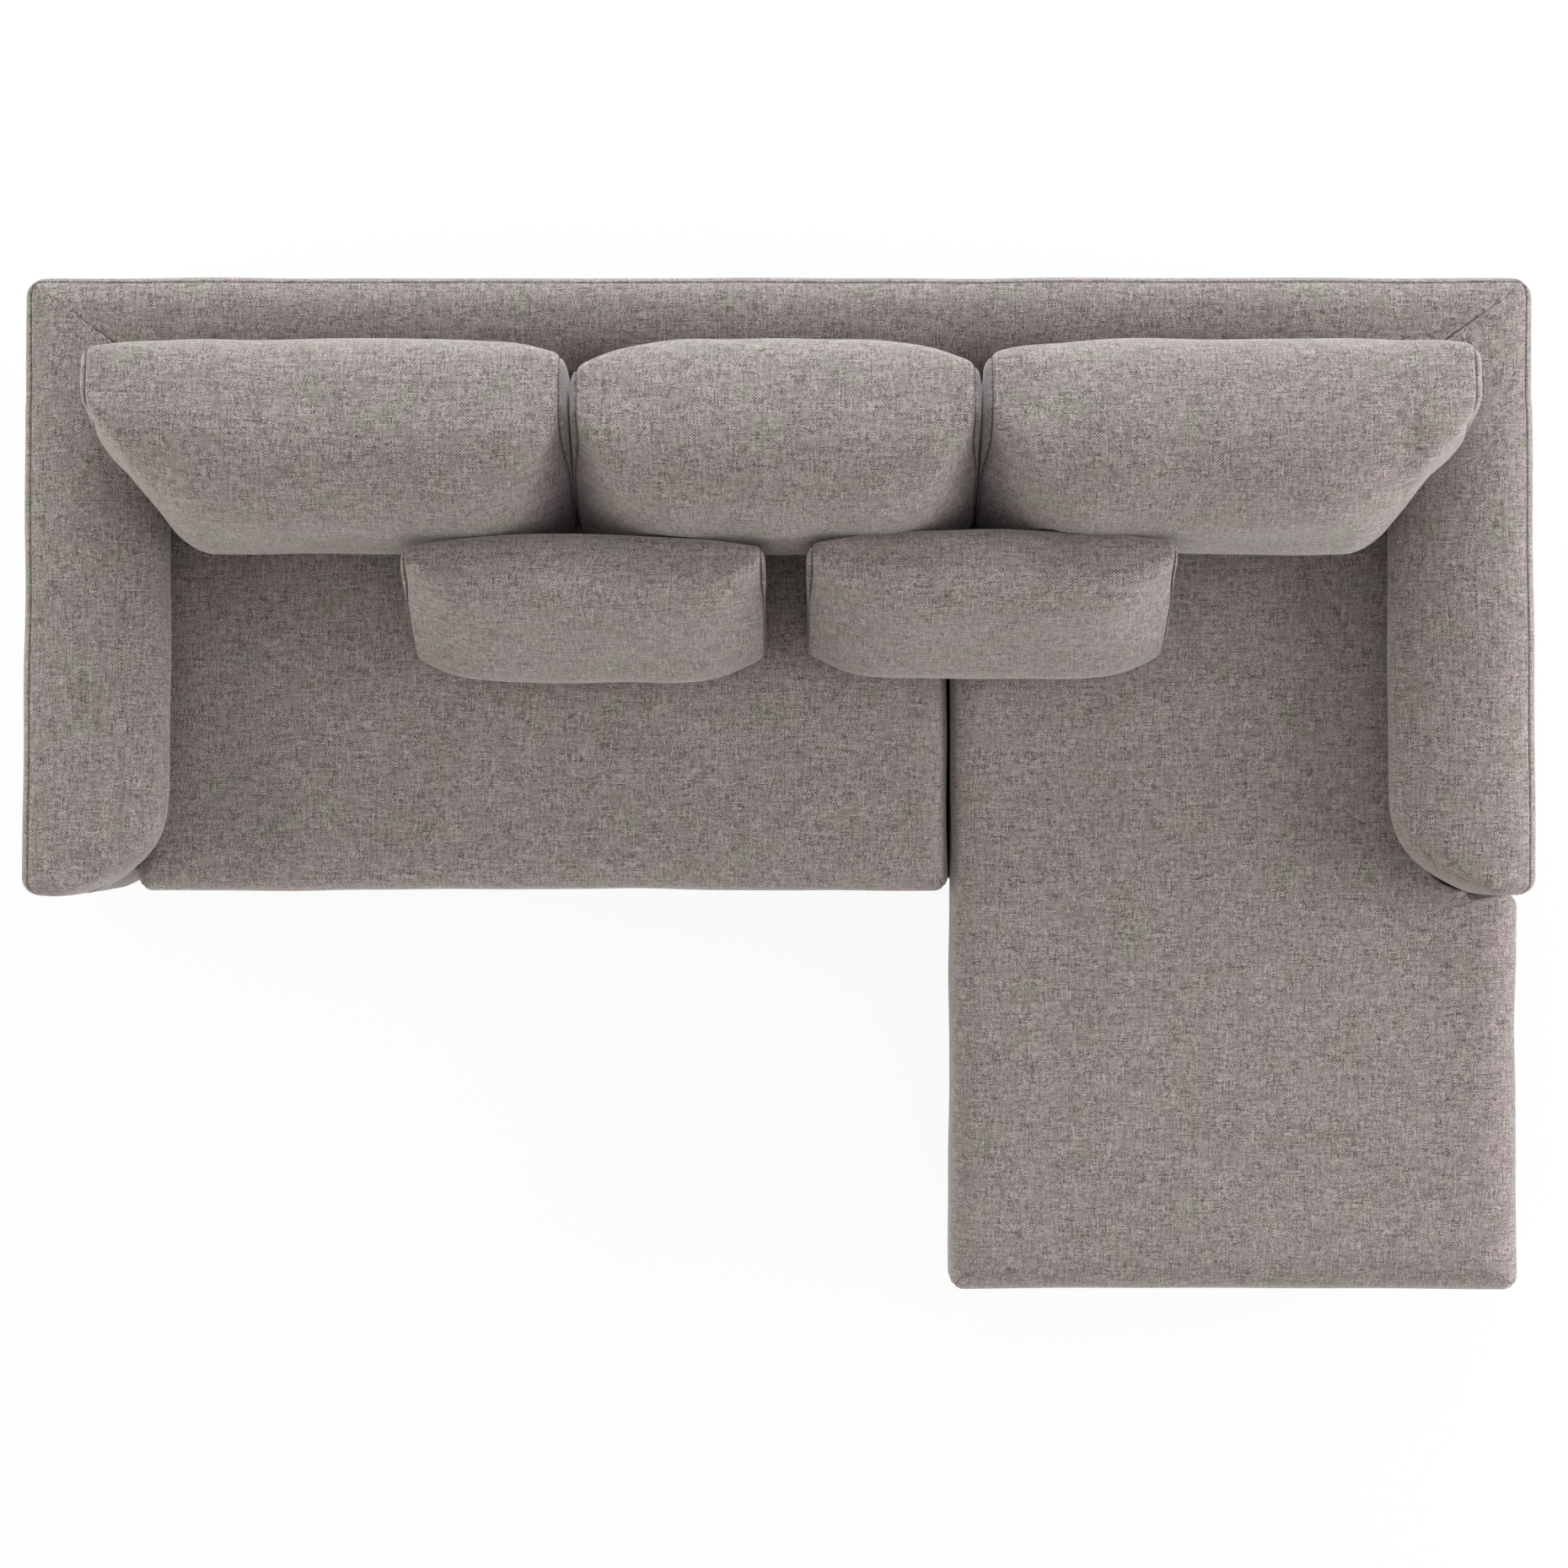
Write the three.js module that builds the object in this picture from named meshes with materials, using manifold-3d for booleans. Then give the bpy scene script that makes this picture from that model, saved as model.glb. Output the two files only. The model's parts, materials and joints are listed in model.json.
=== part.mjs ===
// A three-seat sofa with a chaise. A timber frame carries padded arms and a padded back, mitred at the
// back corners, with a roll that hangs over the seat. A separate chaise base stands in front of the frame.
// One bench cushion, one L-shaped chaise cushion, three back cushions and two lumbar pillows lie loose.
// Millimetres. +X is the right of someone who faces the sofa, +Y its back, +Z up.
// The origin is on the floor, in the middle of the plan.

import * as THREE from 'three';
import { mergeVertices } from 'three/addons/utils/BufferGeometryUtils.js';
import Module from 'manifold-3d';

const wasm = await Module();
wasm.setup();

// Driving sizes of the whole sofa
const overallWidth = 2500;
const overallDepth = 1690;
const sofaDepth = 1020;
const seatHeight = 440;
const armRise = 160;
const seatThickness = 165;
const legHeight = 130;
const seatSplit = 288;
const clearance = 0.3;
const overrun = 40;
const weld = 0.001;

// Padded arms and back. Insets count inwards from the outer face, drops count down from the top.
const arm = {
  wall: 163,
  overhang: 74,
  flare: 7,
  shoulderDrop: 48,
  crownInset: 75,
  crownPull: 34,
  rollDrop: 88,
  rollPull: 40,
  tuckGap: 14,
  tuckPull: 30,
  frontWidth: 115,
  frontOverhang: 6,
  frontTaper: 290,
  frontEdge: 14,
  cover: 6,
};
const back = { topDepth: 166, cornerRadius: 35, straightFrom: 200 };

// How far the timber stays inside the padded surface
const padding = { outer: 15, inner: 11, top: 40, front: 60 };

// Timber, webbing and cloth of the bases
const timber = {
  board: 18,
  rail: 28,
  post: 80,
  lowRail: 110,
  topRail: 60,
  stud: 45,
  windowCorner: 20,
  sideWindows: 4,
  backWindows: 9,
};
const sofaBase = { frontInset: 20, crossRailDrop: 45 };
const chaiseBase = { inset: 15, cornerRadius: 8, border: 4 };
const legBlock = { width: 76, length: 90 };
const webbing = { width: 60, thickness: 2, sofaStraps: 9, chaiseStraps: 4, crossStraps: 3, spare: 12 };
const deckThickness = 4;
const band = { thickness: 4, fold: 26 };
const dustCloth = 1.2;

// Legs and their plates
const leg = { topRadius: 26, footRadius: 16, edge: 3, studRadius: 4, studLength: 26, inset: 52, sides: 12 };
const plate = { size: 68, thickness: 3, corner: 8 };

// Loose seat cushions
const seat = {
  chaiseInset: 1,
  frontOverhang: 7,
  frontRadius: 25,
  backRadius: 30,
  notchRadius: 25,
  bow: 3,
  crownReach: 100,
  bottomReach: 22,
  splitGap: 2,
  wall: 12,
  coreGap: 0.8,
};

// The opening along a zip, and how much of a cushion's underside is pressed flat on the seat
const zip = { opening: 2.4, seatLength: 600, backLength: 360, lumbarLength: 300 };
const pressedFlat = 5;
const sharpestCornerShare = 0.25;

// Loose back cushions and lumbar pillows. A draw is how far an end is pulled in, over its reach.
const backCushion = {
  height: 400,
  thickness: 292,
  tiltDegrees: 14,
  gap: 2,
  leftEnd: 127,
  rightEnd: 121,
  leftJoint: -335,
  rightJoint: 325,
  innerFrontDraw: 105,
  outerFrontDraw: 150,
  backDraw: 40,
  topDraw: 16,
  endReach: 150,
  endEdge: 12,
  armGap: 9,
  zipLength: zip.backLength,
};
const lumbar = {
  height: 320,
  thickness: 160,
  tiltDegrees: 30,
  width: 606,
  leftCentre: -317,
  rightCentre: 348,
  frontDraw: 78,
  backDraw: 25,
  topDraw: 10,
  endReach: 110,
  endEdge: 8,
  zipLength: zip.lumbarLength,
};

// Derived places that several pieces share
const armHeight = seatHeight + armRise;
const tuckDrop = armRise - arm.tuckGap;
const halfWidth = overallWidth / 2;
const backY = overallDepth / 2;
const chaiseFrontY = -overallDepth / 2;
const armFrontY = backY - sofaDepth;
const wallX = halfWidth - arm.wall;
const rollX = wallX - arm.overhang;
const backOuterX = halfWidth - arm.flare;
const armReach = backOuterX - rollX;
const mitreShare = back.topDepth / armReach;
const backWallY = backY - (backOuterX - wallX) * mitreShare;
const hemZ = legHeight + clearance;
const timberZ = legHeight + plate.thickness + 2 * clearance;
const deckTopZ = seatHeight - seatThickness;
const railTopZ = deckTopZ - deckThickness - webbing.thickness - 2 * clearance;
const frameOuterX = backOuterX - padding.outer;
const frameInnerX = wallX + padding.inner;
const frameTopZ = armHeight - padding.top;
const armFrameFrontY = armFrontY + padding.front;
const backFrameOuterY = backY - padding.outer;
const backFrameInnerY = backWallY + padding.inner;
const baseSideX = wallX - clearance;
const baseBackY = backWallY - clearance;
const bandFrontY = armFrontY + sofaBase.frontInset;
const railFrontY = bandFrontY + band.thickness + clearance;
const studHoleRadius = leg.studRadius + clearance;
const studTopZ = legHeight + leg.studLength;

// Colours of the finishes
const colours = {
  fabric: 0x89807d,
  foam: 0xd9cfae,
  timber: 0xb98f5f,
  legWood: 0x4a3526,
  steel: 0x9a9c9e,
  webbing: 0x2f2f33,
  cloth: 0x1d1d1f,
};

function finish(colour, roughness, metalness) {
  return new THREE.MeshStandardMaterial({ color: colour, roughness, metalness });
}

const finishes = {
  fabric: () => finish(colours.fabric, 0.95, 0),
  foam: () => finish(colours.foam, 0.9, 0),
  timber: () => finish(colours.timber, 0.7, 0),
  legWood: () => finish(colours.legWood, 0.45, 0),
  steel: () => finish(colours.steel, 0.35, 1),
  webbing: () => finish(colours.webbing, 0.8, 0),
  cloth: () => finish(colours.cloth, 0.95, 0),
};

function piece(name, geometry, material) {
  const mesh = new THREE.Mesh(geometry, material);
  mesh.name = name;
  return mesh;
}

// Closed geometry and booleans

function closedGeometry(positions, triangles) {
  // Six times the signed volume tells which way the faces point
  let volume = 0;
  const corner = (i) => new THREE.Vector3().fromArray(positions, 3 * i);
  for (let t = 0; t < triangles.length; t += 3) {
    const [a, b, c] = [corner(triangles[t]), corner(triangles[t + 1]), corner(triangles[t + 2])];
    volume += a.dot(b.cross(c));
  }
  const facing = volume < 0 ? triangles.slice().reverse() : triangles;
  const geometry = new THREE.BufferGeometry();
  geometry.setAttribute('position', new THREE.Float32BufferAttribute(positions, 3));
  geometry.setIndex(facing);
  return geometry;
}

function merged(geometry) {
  const bare = geometry.clone();
  bare.deleteAttribute('normal');
  bare.deleteAttribute('uv');
  return mergeVertices(bare, weld);
}

function toSolid(geometry) {
  const bare = merged(geometry);
  return new wasm.Manifold(new wasm.Mesh({
    numProp: 3,
    vertProperties: bare.attributes.position.array,
    triVerts: Uint32Array.from(bare.index.array),
  }));
}

function toGeometry(solid) {
  const mesh = solid.getMesh();
  return closedGeometry(Array.from(mesh.vertProperties), Array.from(mesh.triVerts));
}

function joined(geometries) {
  return toGeometry(geometries.map(toSolid).reduce((all, next) => all.add(next)));
}

function cut(geometry, cutters) {
  return toGeometry(cutters.map(toSolid).reduce((rest, next) => rest.subtract(next), toSolid(geometry)));
}

function mirrored(geometry) {
  const bare = merged(geometry);
  bare.scale(-1, 1, 1);
  return closedGeometry(Array.from(bare.attributes.position.array), Array.from(bare.index.array));
}

function box(low, high) {
  const size = high.map((value, i) => value - low[i]);
  const middle = high.map((value, i) => (value + low[i]) / 2);
  return new THREE.BoxGeometry(...size).translate(...middle);
}

function raised(shape, depth) {
  return new THREE.ExtrudeGeometry(shape, { depth, bevelEnabled: false, curveSegments: 1 });
}

function upright(shape, lowZ, highZ) {
  // A plan outline raised from lowZ to highZ
  return raised(shape, highZ - lowZ).translate(0, 0, lowZ);
}

function alongX(shape, lowX, highX) {
  // An outline drawn in Y and Z, run from lowX to highX
  const turn = new THREE.Matrix4().makeBasis(
    new THREE.Vector3(0, 1, 0),
    new THREE.Vector3(0, 0, 1),
    new THREE.Vector3(1, 0, 0),
  );
  return raised(shape, highX - lowX).applyMatrix4(turn).translate(lowX, 0, 0);
}

function alongY(shape, lowY, highY) {
  // An outline drawn in X and Z, run from lowY to highY
  return raised(shape, highY - lowY).rotateX(Math.PI / 2).translate(0, highY, 0);
}

function roundedRectangle(Kind, low, high, radius) {
  const path = new Kind();
  path.absarc(high[0] - radius, low[1] + radius, radius, -Math.PI / 2, 0);
  path.absarc(high[0] - radius, high[1] - radius, radius, 0, Math.PI / 2);
  path.absarc(low[0] + radius, high[1] - radius, radius, Math.PI / 2, Math.PI);
  path.absarc(low[0] + radius, low[1] + radius, radius, Math.PI, 1.5 * Math.PI);
  return path;
}

function rectangle(low, high) {
  return new THREE.Shape([
    new THREE.Vector2(low[0], low[1]),
    new THREE.Vector2(high[0], low[1]),
    new THREE.Vector2(high[0], high[1]),
    new THREE.Vector2(low[0], high[1]),
  ]);
}

function loft(rings, flatten) {
  // Joins closed rings of equal count, and closes the first and the last with a cap
  const count = rings[0].length;
  const positions = rings.flat().flatMap((point) => point.toArray());
  const triangles = [];
  for (let r = 0; r + 1 < rings.length; r += 1) {
    for (let i = 0; i < count; i += 1) {
      const a = r * count + i;
      const b = r * count + ((i + 1) % count);
      triangles.push(a, b, b + count, a, b + count, a + count);
    }
  }
  const capOf = (ring) => THREE.ShapeUtils.triangulateShape(ring.map(flatten), []);
  const lastStart = (rings.length - 1) * count;
  const wound = (ring) => THREE.ShapeUtils.isClockWise(ring.map(flatten));
  const startTurn = wound(rings[0]);
  for (const [a, b, c] of capOf(rings[0])) {
    triangles.push(...(startTurn ? [a, b, c] : [c, b, a]));
  }
  const endTurn = wound(rings[rings.length - 1]);
  for (const [a, b, c] of capOf(rings[rings.length - 1])) {
    triangles.push(...(endTurn ? [c, b, a] : [a, b, c]).map((i) => i + lastStart));
  }
  return closedGeometry(positions, triangles);
}

function insetLoop(points, distance, inwards) {
  // Moves each corner of a loop so that both of its edges shift sideways by the distance
  return points.map((point, i) => {
    const before = points[(i + points.length - 1) % points.length];
    const after = points[(i + 1) % points.length];
    const one = point.clone().sub(before).normalize();
    const two = after.clone().sub(point).normalize();
    const normalOne = new THREE.Vector2(one.y, -one.x).multiplyScalar(inwards);
    const normalTwo = new THREE.Vector2(two.y, -two.x).multiplyScalar(inwards);
    const stretch = distance / (1 + normalOne.dot(normalTwo));
    return point.clone().add(normalOne.add(normalTwo).multiplyScalar(stretch));
  });
}

// Padded arms and back

const clockwise = 1;
const anticlockwise = -1;
const curveSteps = 4;

function paddedSection(wall, overhang, inset, bottomZ) {
  // Outer face, shoulder, crown, the roll over the seat and the tuck under it, drawn as inset and height
  const reach = wall + overhang;
  const crown = Math.min(arm.crownInset, reach / 2);
  const path = new THREE.Path();
  path.moveTo(0, hemZ);
  path.lineTo(0, armHeight - arm.shoulderDrop);
  path.bezierCurveTo(
    0, armHeight - arm.shoulderDrop + arm.crownPull,
    crown - arm.crownPull, armHeight,
    crown, armHeight,
  );
  path.bezierCurveTo(
    reach - arm.rollPull, armHeight,
    reach, armHeight - arm.rollDrop + arm.rollPull,
    reach, armHeight - arm.rollDrop,
  );
  path.bezierCurveTo(
    reach, armHeight - arm.rollDrop - arm.tuckPull,
    Math.min(wall + arm.tuckPull, reach), armHeight - tuckDrop,
    wall, armHeight - tuckDrop,
  );
  path.lineTo(wall, hemZ);
  const loop = insetLoop(path.getPoints(curveSteps), inset, clockwise);
  loop[0].y = bottomZ;
  loop[loop.length - 1].y = bottomZ;
  return loop;
}

function roundedCorner(fromSide, fromBack, inset) {
  // Points outside the rounded back corner move in to its arc
  const radius = back.cornerRadius;
  const along = radius - fromSide;
  const across = radius - fromBack;
  const distance = Math.hypot(along, across);
  const limit = radius - inset;
  if (along < 0 || across < 0 || distance <= limit) {
    return [fromSide, fromBack];
  }
  return [radius - (along * limit) / distance, radius - (across * limit) / distance];
}

// Where the rings stand between the mitre and the straight stretch, as shares of that distance
const cornerShares = [0.05, 0.1, 0.175, 1];

function frontStations() {
  // Close rings round the front edge, then wider ones along the taper
  const edge = [0, 1, 2].map((i) => arm.frontEdge * (1 - Math.cos((i * Math.PI) / 4)));
  const taper = [1, 2, 3, 4].map((i) => arm.frontTaper * (1 - Math.cos((i * Math.PI) / 8)));
  return [...edge, ...taper.filter((distance) => distance > arm.frontEdge)];
}

function armRing(fromFront, inset, bottomZ) {
  // The roll is drawn in towards the front as a quarter ellipse
  const behind = 1 - Math.min(fromFront / arm.frontTaper, 1);
  const flare = arm.flare * (1 - fromFront / sofaDepth);
  const fullWall = arm.wall - arm.flare + flare;
  const fullReach = fullWall + arm.overhang;
  const reach = arm.frontWidth + (fullReach - arm.frontWidth) * Math.sqrt(1 - behind * behind);
  const wall = Math.min(fullWall, reach - arm.frontOverhang);
  const ahead = Math.max(arm.frontEdge - fromFront, 0);
  const edgeInset = arm.frontEdge - Math.sqrt(arm.frontEdge ** 2 - ahead ** 2);
  const section = paddedSection(wall, reach - wall, inset + edgeInset, bottomZ);
  const y = armFrontY + fromFront + inset * Math.max(1 - fromFront / arm.frontTaper, 0);
  return section.map((point) => new THREE.Vector3(backOuterX + flare - point.x, y, point.y));
}

function mitreStart(inset) {
  // Where the mitre line meets the arc of the rounded corner, counted in from the outer side face
  const radius = back.cornerRadius;
  const square = 1 + mitreShare ** 2;
  const linear = radius * (1 + mitreShare);
  const rest = 2 * radius ** 2 - (radius - inset) ** 2;
  return (linear - Math.sqrt(linear ** 2 - square * rest)) / square;
}

function runOn(edge, inside) {
  // The ring as far past the edge as its neighbour is inside it
  return edge.map((point, i) => point.clone().lerp(inside[i], -1));
}

function armSolid(inset, bottomZ) {
  // From the front to a little past the mitre
  const front = frontStations().map((distance) => armRing(distance, inset, bottomZ));
  const straight = paddedSection(backOuterX - wallX, arm.overhang, inset, bottomZ);
  const place = (fromSide, fromBack, z) => new THREE.Vector3(backOuterX - fromSide, backY - fromBack, z);
  const onMitre = (point) => Math.max(point.x, mitreStart(inset));
  const mitre = straight.map((point) => place(onMitre(point), onMitre(point) * mitreShare, point.y));
  const corner = cornerShares.slice().reverse().map((share) => straight.map((point) => {
    const start = onMitre(point) * mitreShare;
    const [a, b] = roundedCorner(point.x, start + share * (back.straightFrom - start), inset);
    return place(a, b, point.y);
  }));
  const rings = [...front, ...corner, runOn(mitre, corner[corner.length - 1])];
  return loft(rings, (point) => new THREE.Vector2(point.x, point.z));
}

function backSolid(inset, bottomZ) {
  // The same section, as deep as the mitre makes it, run from a little past one mitre to past the other
  const section = paddedSection(backOuterX - wallX, arm.overhang, inset / mitreShare, bottomZ);
  const flat = paddedSection(backOuterX - wallX, arm.overhang, inset, bottomZ);
  const straight = section.map((point, i) => new THREE.Vector2(point.x, flat[i].y));
  const straightFrom = back.straightFrom / mitreShare;
  const place = (fromSide, fromBack, z) => new THREE.Vector3(fromSide - backOuterX, backY - fromBack, z);
  const onMitre = (point) => Math.max(point.x, mitreStart(inset));
  const mitre = straight.map((point) => place(onMitre(point), onMitre(point) * mitreShare, point.y));
  const corner = cornerShares.map((share) => straight.map((point) => {
    const start = onMitre(point);
    const fromSide = start + share * (straightFrom - start);
    const [a, b] = roundedCorner(fromSide, point.x * mitreShare, inset);
    return place(a, b, point.y);
  }));
  const half = [runOn(mitre, corner[0]), ...corner];
  const other = half.slice().reverse().map((ring) => ring.map((point) => point.clone().setX(-point.x)));
  return loft([...half, ...other], (point) => new THREE.Vector2(point.y, point.z));
}

function pastMitre(ofArm) {
  // All that lies past the mitre at the back right corner, for the arm or for the back
  const low = -overrun;
  const high = armReach + overrun;
  const [fromSide, fromBack] = ofArm ? [0, clearance] : [clearance, 0];
  const corners = [[low, low], [high, high], ofArm ? [high, low] : [low, high]];
  const outline = corners.map(([side, rear]) => new THREE.Vector2(
    backOuterX - side - fromSide,
    backY - rear * mitreShare - fromBack,
  ));
  return upright(new THREE.Shape(outline), hemZ - 2 * overrun, armHeight + overrun);
}

function frameSpaces() {
  // The room that the timber takes inside the pads
  const low = hemZ - overrun;
  const high = frameTopZ + clearance;
  const outer = frameOuterX + clearance;
  const inner = frameInnerX - clearance;
  const front = armFrameFrontY - clearance;
  const rear = backFrameInnerY + overrun;
  return [
    box([inner, front, low], [outer, rear, high]),
    box([-outer, front, low], [-inner, rear, high]),
    box([-outer, backFrameInnerY - clearance, low], [outer, backFrameOuterY + clearance, high]),
  ];
}

function upholstery() {
  const padInset = arm.cover + clearance;
  const lowZ = hemZ - overrun;
  const armEnds = [pastMitre(true)];
  const backEnds = [pastMitre(false), mirrored(pastMitre(false))];
  const armCover = cut(armSolid(0, hemZ), [armSolid(arm.cover, lowZ), ...armEnds]);
  const armPad = cut(armSolid(padInset, hemZ), [...frameSpaces(), ...armEnds]);
  const backCover = cut(backSolid(0, hemZ), [backSolid(arm.cover, lowZ), ...backEnds]);
  const backPad = cut(backSolid(padInset, hemZ), [...frameSpaces(), ...backEnds]);
  return [
    piece('right_arm_cover', armCover, finishes.fabric()),
    piece('left_arm_cover', mirrored(armCover), finishes.fabric()),
    piece('back_cover', backCover, finishes.fabric()),
    piece('right_arm_pad', armPad, finishes.foam()),
    piece('left_arm_pad', mirrored(armPad), finishes.foam()),
    piece('back_pad', backPad, finishes.foam()),
  ];
}

// Timber of the arms and the back

function windowedPanel(low, high, bottomRail, topRail, endRail, windows, stud) {
  // A panel with a row of equal windows, between studs of equal width
  const panel = rectangle(low, high);
  const room = high[0] - low[0] - 2 * endRail;
  const width = (room - (windows - 1) * stud) / windows;
  for (let i = 0; i < windows; i += 1) {
    const start = low[0] + endRail + i * (width + stud);
    const windowLow = [start, low[1] + bottomRail];
    const windowHigh = [start + width, high[1] - topRail];
    panel.holes.push(roundedRectangle(THREE.Path, windowLow, windowHigh, timber.windowCorner));
  }
  return panel;
}

function studHole(x, y) {
  const height = studTopZ + clearance - timberZ + overrun;
  const hole = new THREE.CylinderGeometry(studHoleRadius, studHoleRadius, height, leg.sides);
  return hole.rotateX(Math.PI / 2).translate(x, y, studTopZ + clearance - height / 2);
}

const armLegX = (frameOuterX + frameInnerX) / 2;
const armLegFrontY = armFrameFrontY + timber.post / 2;
const armLegBackY = backFrameInnerY - clearance - timber.post / 2;

function armFrame() {
  const backEndY = backFrameInnerY - clearance;
  const side = windowedPanel(
    [armFrameFrontY, timberZ], [backEndY, frameTopZ],
    timber.lowRail, timber.topRail, timber.post, timber.sideWindows, timber.stud,
  );
  const lap = timber.board / 2;
  const innerFace = frameInnerX + lap;
  const outerFace = frameOuterX - lap;
  const postTopZ = frameTopZ - lap;
  const post = (fromY) => box([innerFace, fromY, timberZ], [outerFace, fromY + timber.post, postTopZ]);
  const whole = joined([
    alongX(side, frameInnerX, frameInnerX + timber.board),
    alongX(side, frameOuterX - timber.board, frameOuterX),
    box([innerFace, armFrameFrontY, frameTopZ - timber.board], [outerFace, backEndY, frameTopZ]),
    post(armFrameFrontY),
    post(backEndY - timber.post),
  ]);
  return cut(whole, [studHole(armLegX, armLegFrontY), studHole(armLegX, armLegBackY)]);
}

function backFrame() {
  const ladder = windowedPanel(
    [-frameOuterX, timberZ], [frameOuterX, frameTopZ],
    timber.lowRail, timber.topRail, timber.post, timber.backWindows, timber.stud,
  );
  return alongY(ladder, backFrameInnerY, backFrameOuterY);
}

// Base of the sofa

const crossRailTopZ = railTopZ - sofaBase.crossRailDrop;
const centreLegY = (railFrontY + baseBackY) / 2;

function crossRail() {
  // A rail that widens to a block in its middle, where the centre leg screws in
  const frontEnd = railFrontY + timber.rail + clearance;
  const backEnd = baseBackY - timber.rail - clearance;
  const half = timber.rail / 2;
  const block = legBlock.width / 2;
  const blockFront = centreLegY - legBlock.length / 2;
  const blockBack = centreLegY + legBlock.length / 2;
  const outline = new THREE.Shape([
    new THREE.Vector2(-half, frontEnd),
    new THREE.Vector2(half, frontEnd),
    new THREE.Vector2(half, blockFront),
    new THREE.Vector2(block, blockFront),
    new THREE.Vector2(block, blockBack),
    new THREE.Vector2(half, blockBack),
    new THREE.Vector2(half, backEnd),
    new THREE.Vector2(-half, backEnd),
    new THREE.Vector2(-half, blockBack),
    new THREE.Vector2(-block, blockBack),
    new THREE.Vector2(-block, blockFront),
    new THREE.Vector2(-half, blockFront),
  ]);
  return cut(upright(outline, timberZ, crossRailTopZ), [studHole(0, centreLegY)]);
}

function straps(lowX, highX, lowY, highY, lengthwise, crosswise) {
  // Straps crossed at right angles, joined where they cross, with their ends on the rails
  const lowZ = railTopZ + clearance;
  const highZ = lowZ + webbing.thickness;
  const half = webbing.width / 2;
  const edge = webbing.spare + half;
  const spread = (low, high, count, i) => low + edge + ((high - low - 2 * edge) * (i + 0.5)) / count;
  const all = [];
  for (let i = 0; i < lengthwise; i += 1) {
    const x = spread(lowX, highX, lengthwise, i);
    all.push(box([x - half, lowY, lowZ], [x + half, highY, highZ]));
  }
  for (let i = 0; i < crosswise; i += 1) {
    const y = spread(lowY, highY, crosswise, i);
    all.push(box([lowX, y - half, lowZ], [highX, y + half, highZ]));
  }
  return joined(all);
}

function frontBand() {
  // The fabric band on the front rail, turned under its lower edge
  const outline = new THREE.Shape();
  outline.moveTo(bandFrontY, hemZ);
  outline.lineTo(bandFrontY + band.fold, hemZ);
  outline.lineTo(bandFrontY + band.fold, timberZ - clearance);
  outline.lineTo(bandFrontY + band.thickness, timberZ - clearance);
  outline.lineTo(bandFrontY + band.thickness, deckTopZ);
  outline.lineTo(bandFrontY, deckTopZ);
  return alongX(outline, -baseSideX, baseSideX);
}

function dustCover(low, high, plates) {
  // Black cloth under the rails, cut out round the leg plates
  const highZ = timberZ - clearance;
  const lowZ = highZ - dustCloth;
  const half = plate.size / 2 + 2 * clearance;
  const holes = plates.map(([x, y]) => box(
    [x - half, y - half, lowZ - overrun],
    [x + half, y + half, highZ + overrun],
  ));
  return cut(box([...low, lowZ], [...high, highZ]), holes);
}

function sofaBasePieces() {
  const inner = baseSideX - timber.rail;
  const deckLowZ = deckTopZ - deckThickness;
  const sideRail = box([inner, railFrontY, timberZ], [baseSideX, baseBackY, railTopZ]);
  const crossX = inner - clearance;
  const frontRail = box([-crossX, railFrontY, timberZ], [crossX, railFrontY + timber.rail, railTopZ]);
  const backRail = box([-crossX, baseBackY - timber.rail, timberZ], [crossX, baseBackY, railTopZ]);
  const seatWebbing = straps(
    -baseSideX, baseSideX, railFrontY, baseBackY, webbing.sofaStraps, webbing.crossStraps,
  );
  const deck = box([-baseSideX, railFrontY, deckLowZ], [baseSideX, baseBackY, deckTopZ]);
  const clothFront = bandFrontY + band.fold + clearance;
  const cloth = dustCover([-baseSideX, clothFront], [baseSideX, baseBackY], [[0, centreLegY]]);
  return [
    piece('right_side_rail', sideRail, finishes.timber()),
    piece('left_side_rail', mirrored(sideRail), finishes.timber()),
    piece('front_rail', frontRail, finishes.timber()),
    piece('back_rail', backRail, finishes.timber()),
    piece('centre_cross_rail', crossRail(), finishes.timber()),
    piece('seat_webbing', seatWebbing, finishes.webbing()),
    piece('seat_deck', deck, finishes.cloth()),
    piece('front_rail_cover', frontBand(), finishes.fabric()),
    piece('dust_cover', cloth, finishes.cloth()),
  ];
}

// Chaise base

const chaiseLeftX = seatSplit + seat.chaiseInset + chaiseBase.inset;
const chaiseRightX = halfWidth - seat.chaiseInset - chaiseBase.inset;
const chaiseLowY = chaiseFrontY + chaiseBase.inset;
const chaiseHighY = armFrontY - 2 * clearance;
const chaiseSkin = chaiseBase.border + clearance;
const chaiseLegs = [
  [chaiseLeftX + leg.inset, chaiseLowY + leg.inset],
  [chaiseRightX - leg.inset, chaiseLowY + leg.inset],
  [chaiseLeftX + leg.inset, chaiseHighY - leg.inset],
  [chaiseRightX - leg.inset, chaiseHighY - leg.inset],
];

function chaiseSideRail() {
  // The left rail, with a glued corner block at each end
  const outer = chaiseLeftX + chaiseSkin;
  const inner = outer + timber.rail;
  const block = outer + legBlock.width;
  const low = chaiseLowY + chaiseSkin;
  const high = chaiseHighY - chaiseSkin;
  const outline = new THREE.Shape([
    new THREE.Vector2(outer, low),
    new THREE.Vector2(block, low),
    new THREE.Vector2(block, low + legBlock.length),
    new THREE.Vector2(inner, low + legBlock.length),
    new THREE.Vector2(inner, high - legBlock.length),
    new THREE.Vector2(block, high - legBlock.length),
    new THREE.Vector2(block, high),
    new THREE.Vector2(outer, high),
  ]);
  const holes = chaiseLegs.filter((place) => place[0] < inner + legBlock.width);
  return cut(upright(outline, timberZ, railTopZ), holes.map(([x, y]) => studHole(x, y)));
}

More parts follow.
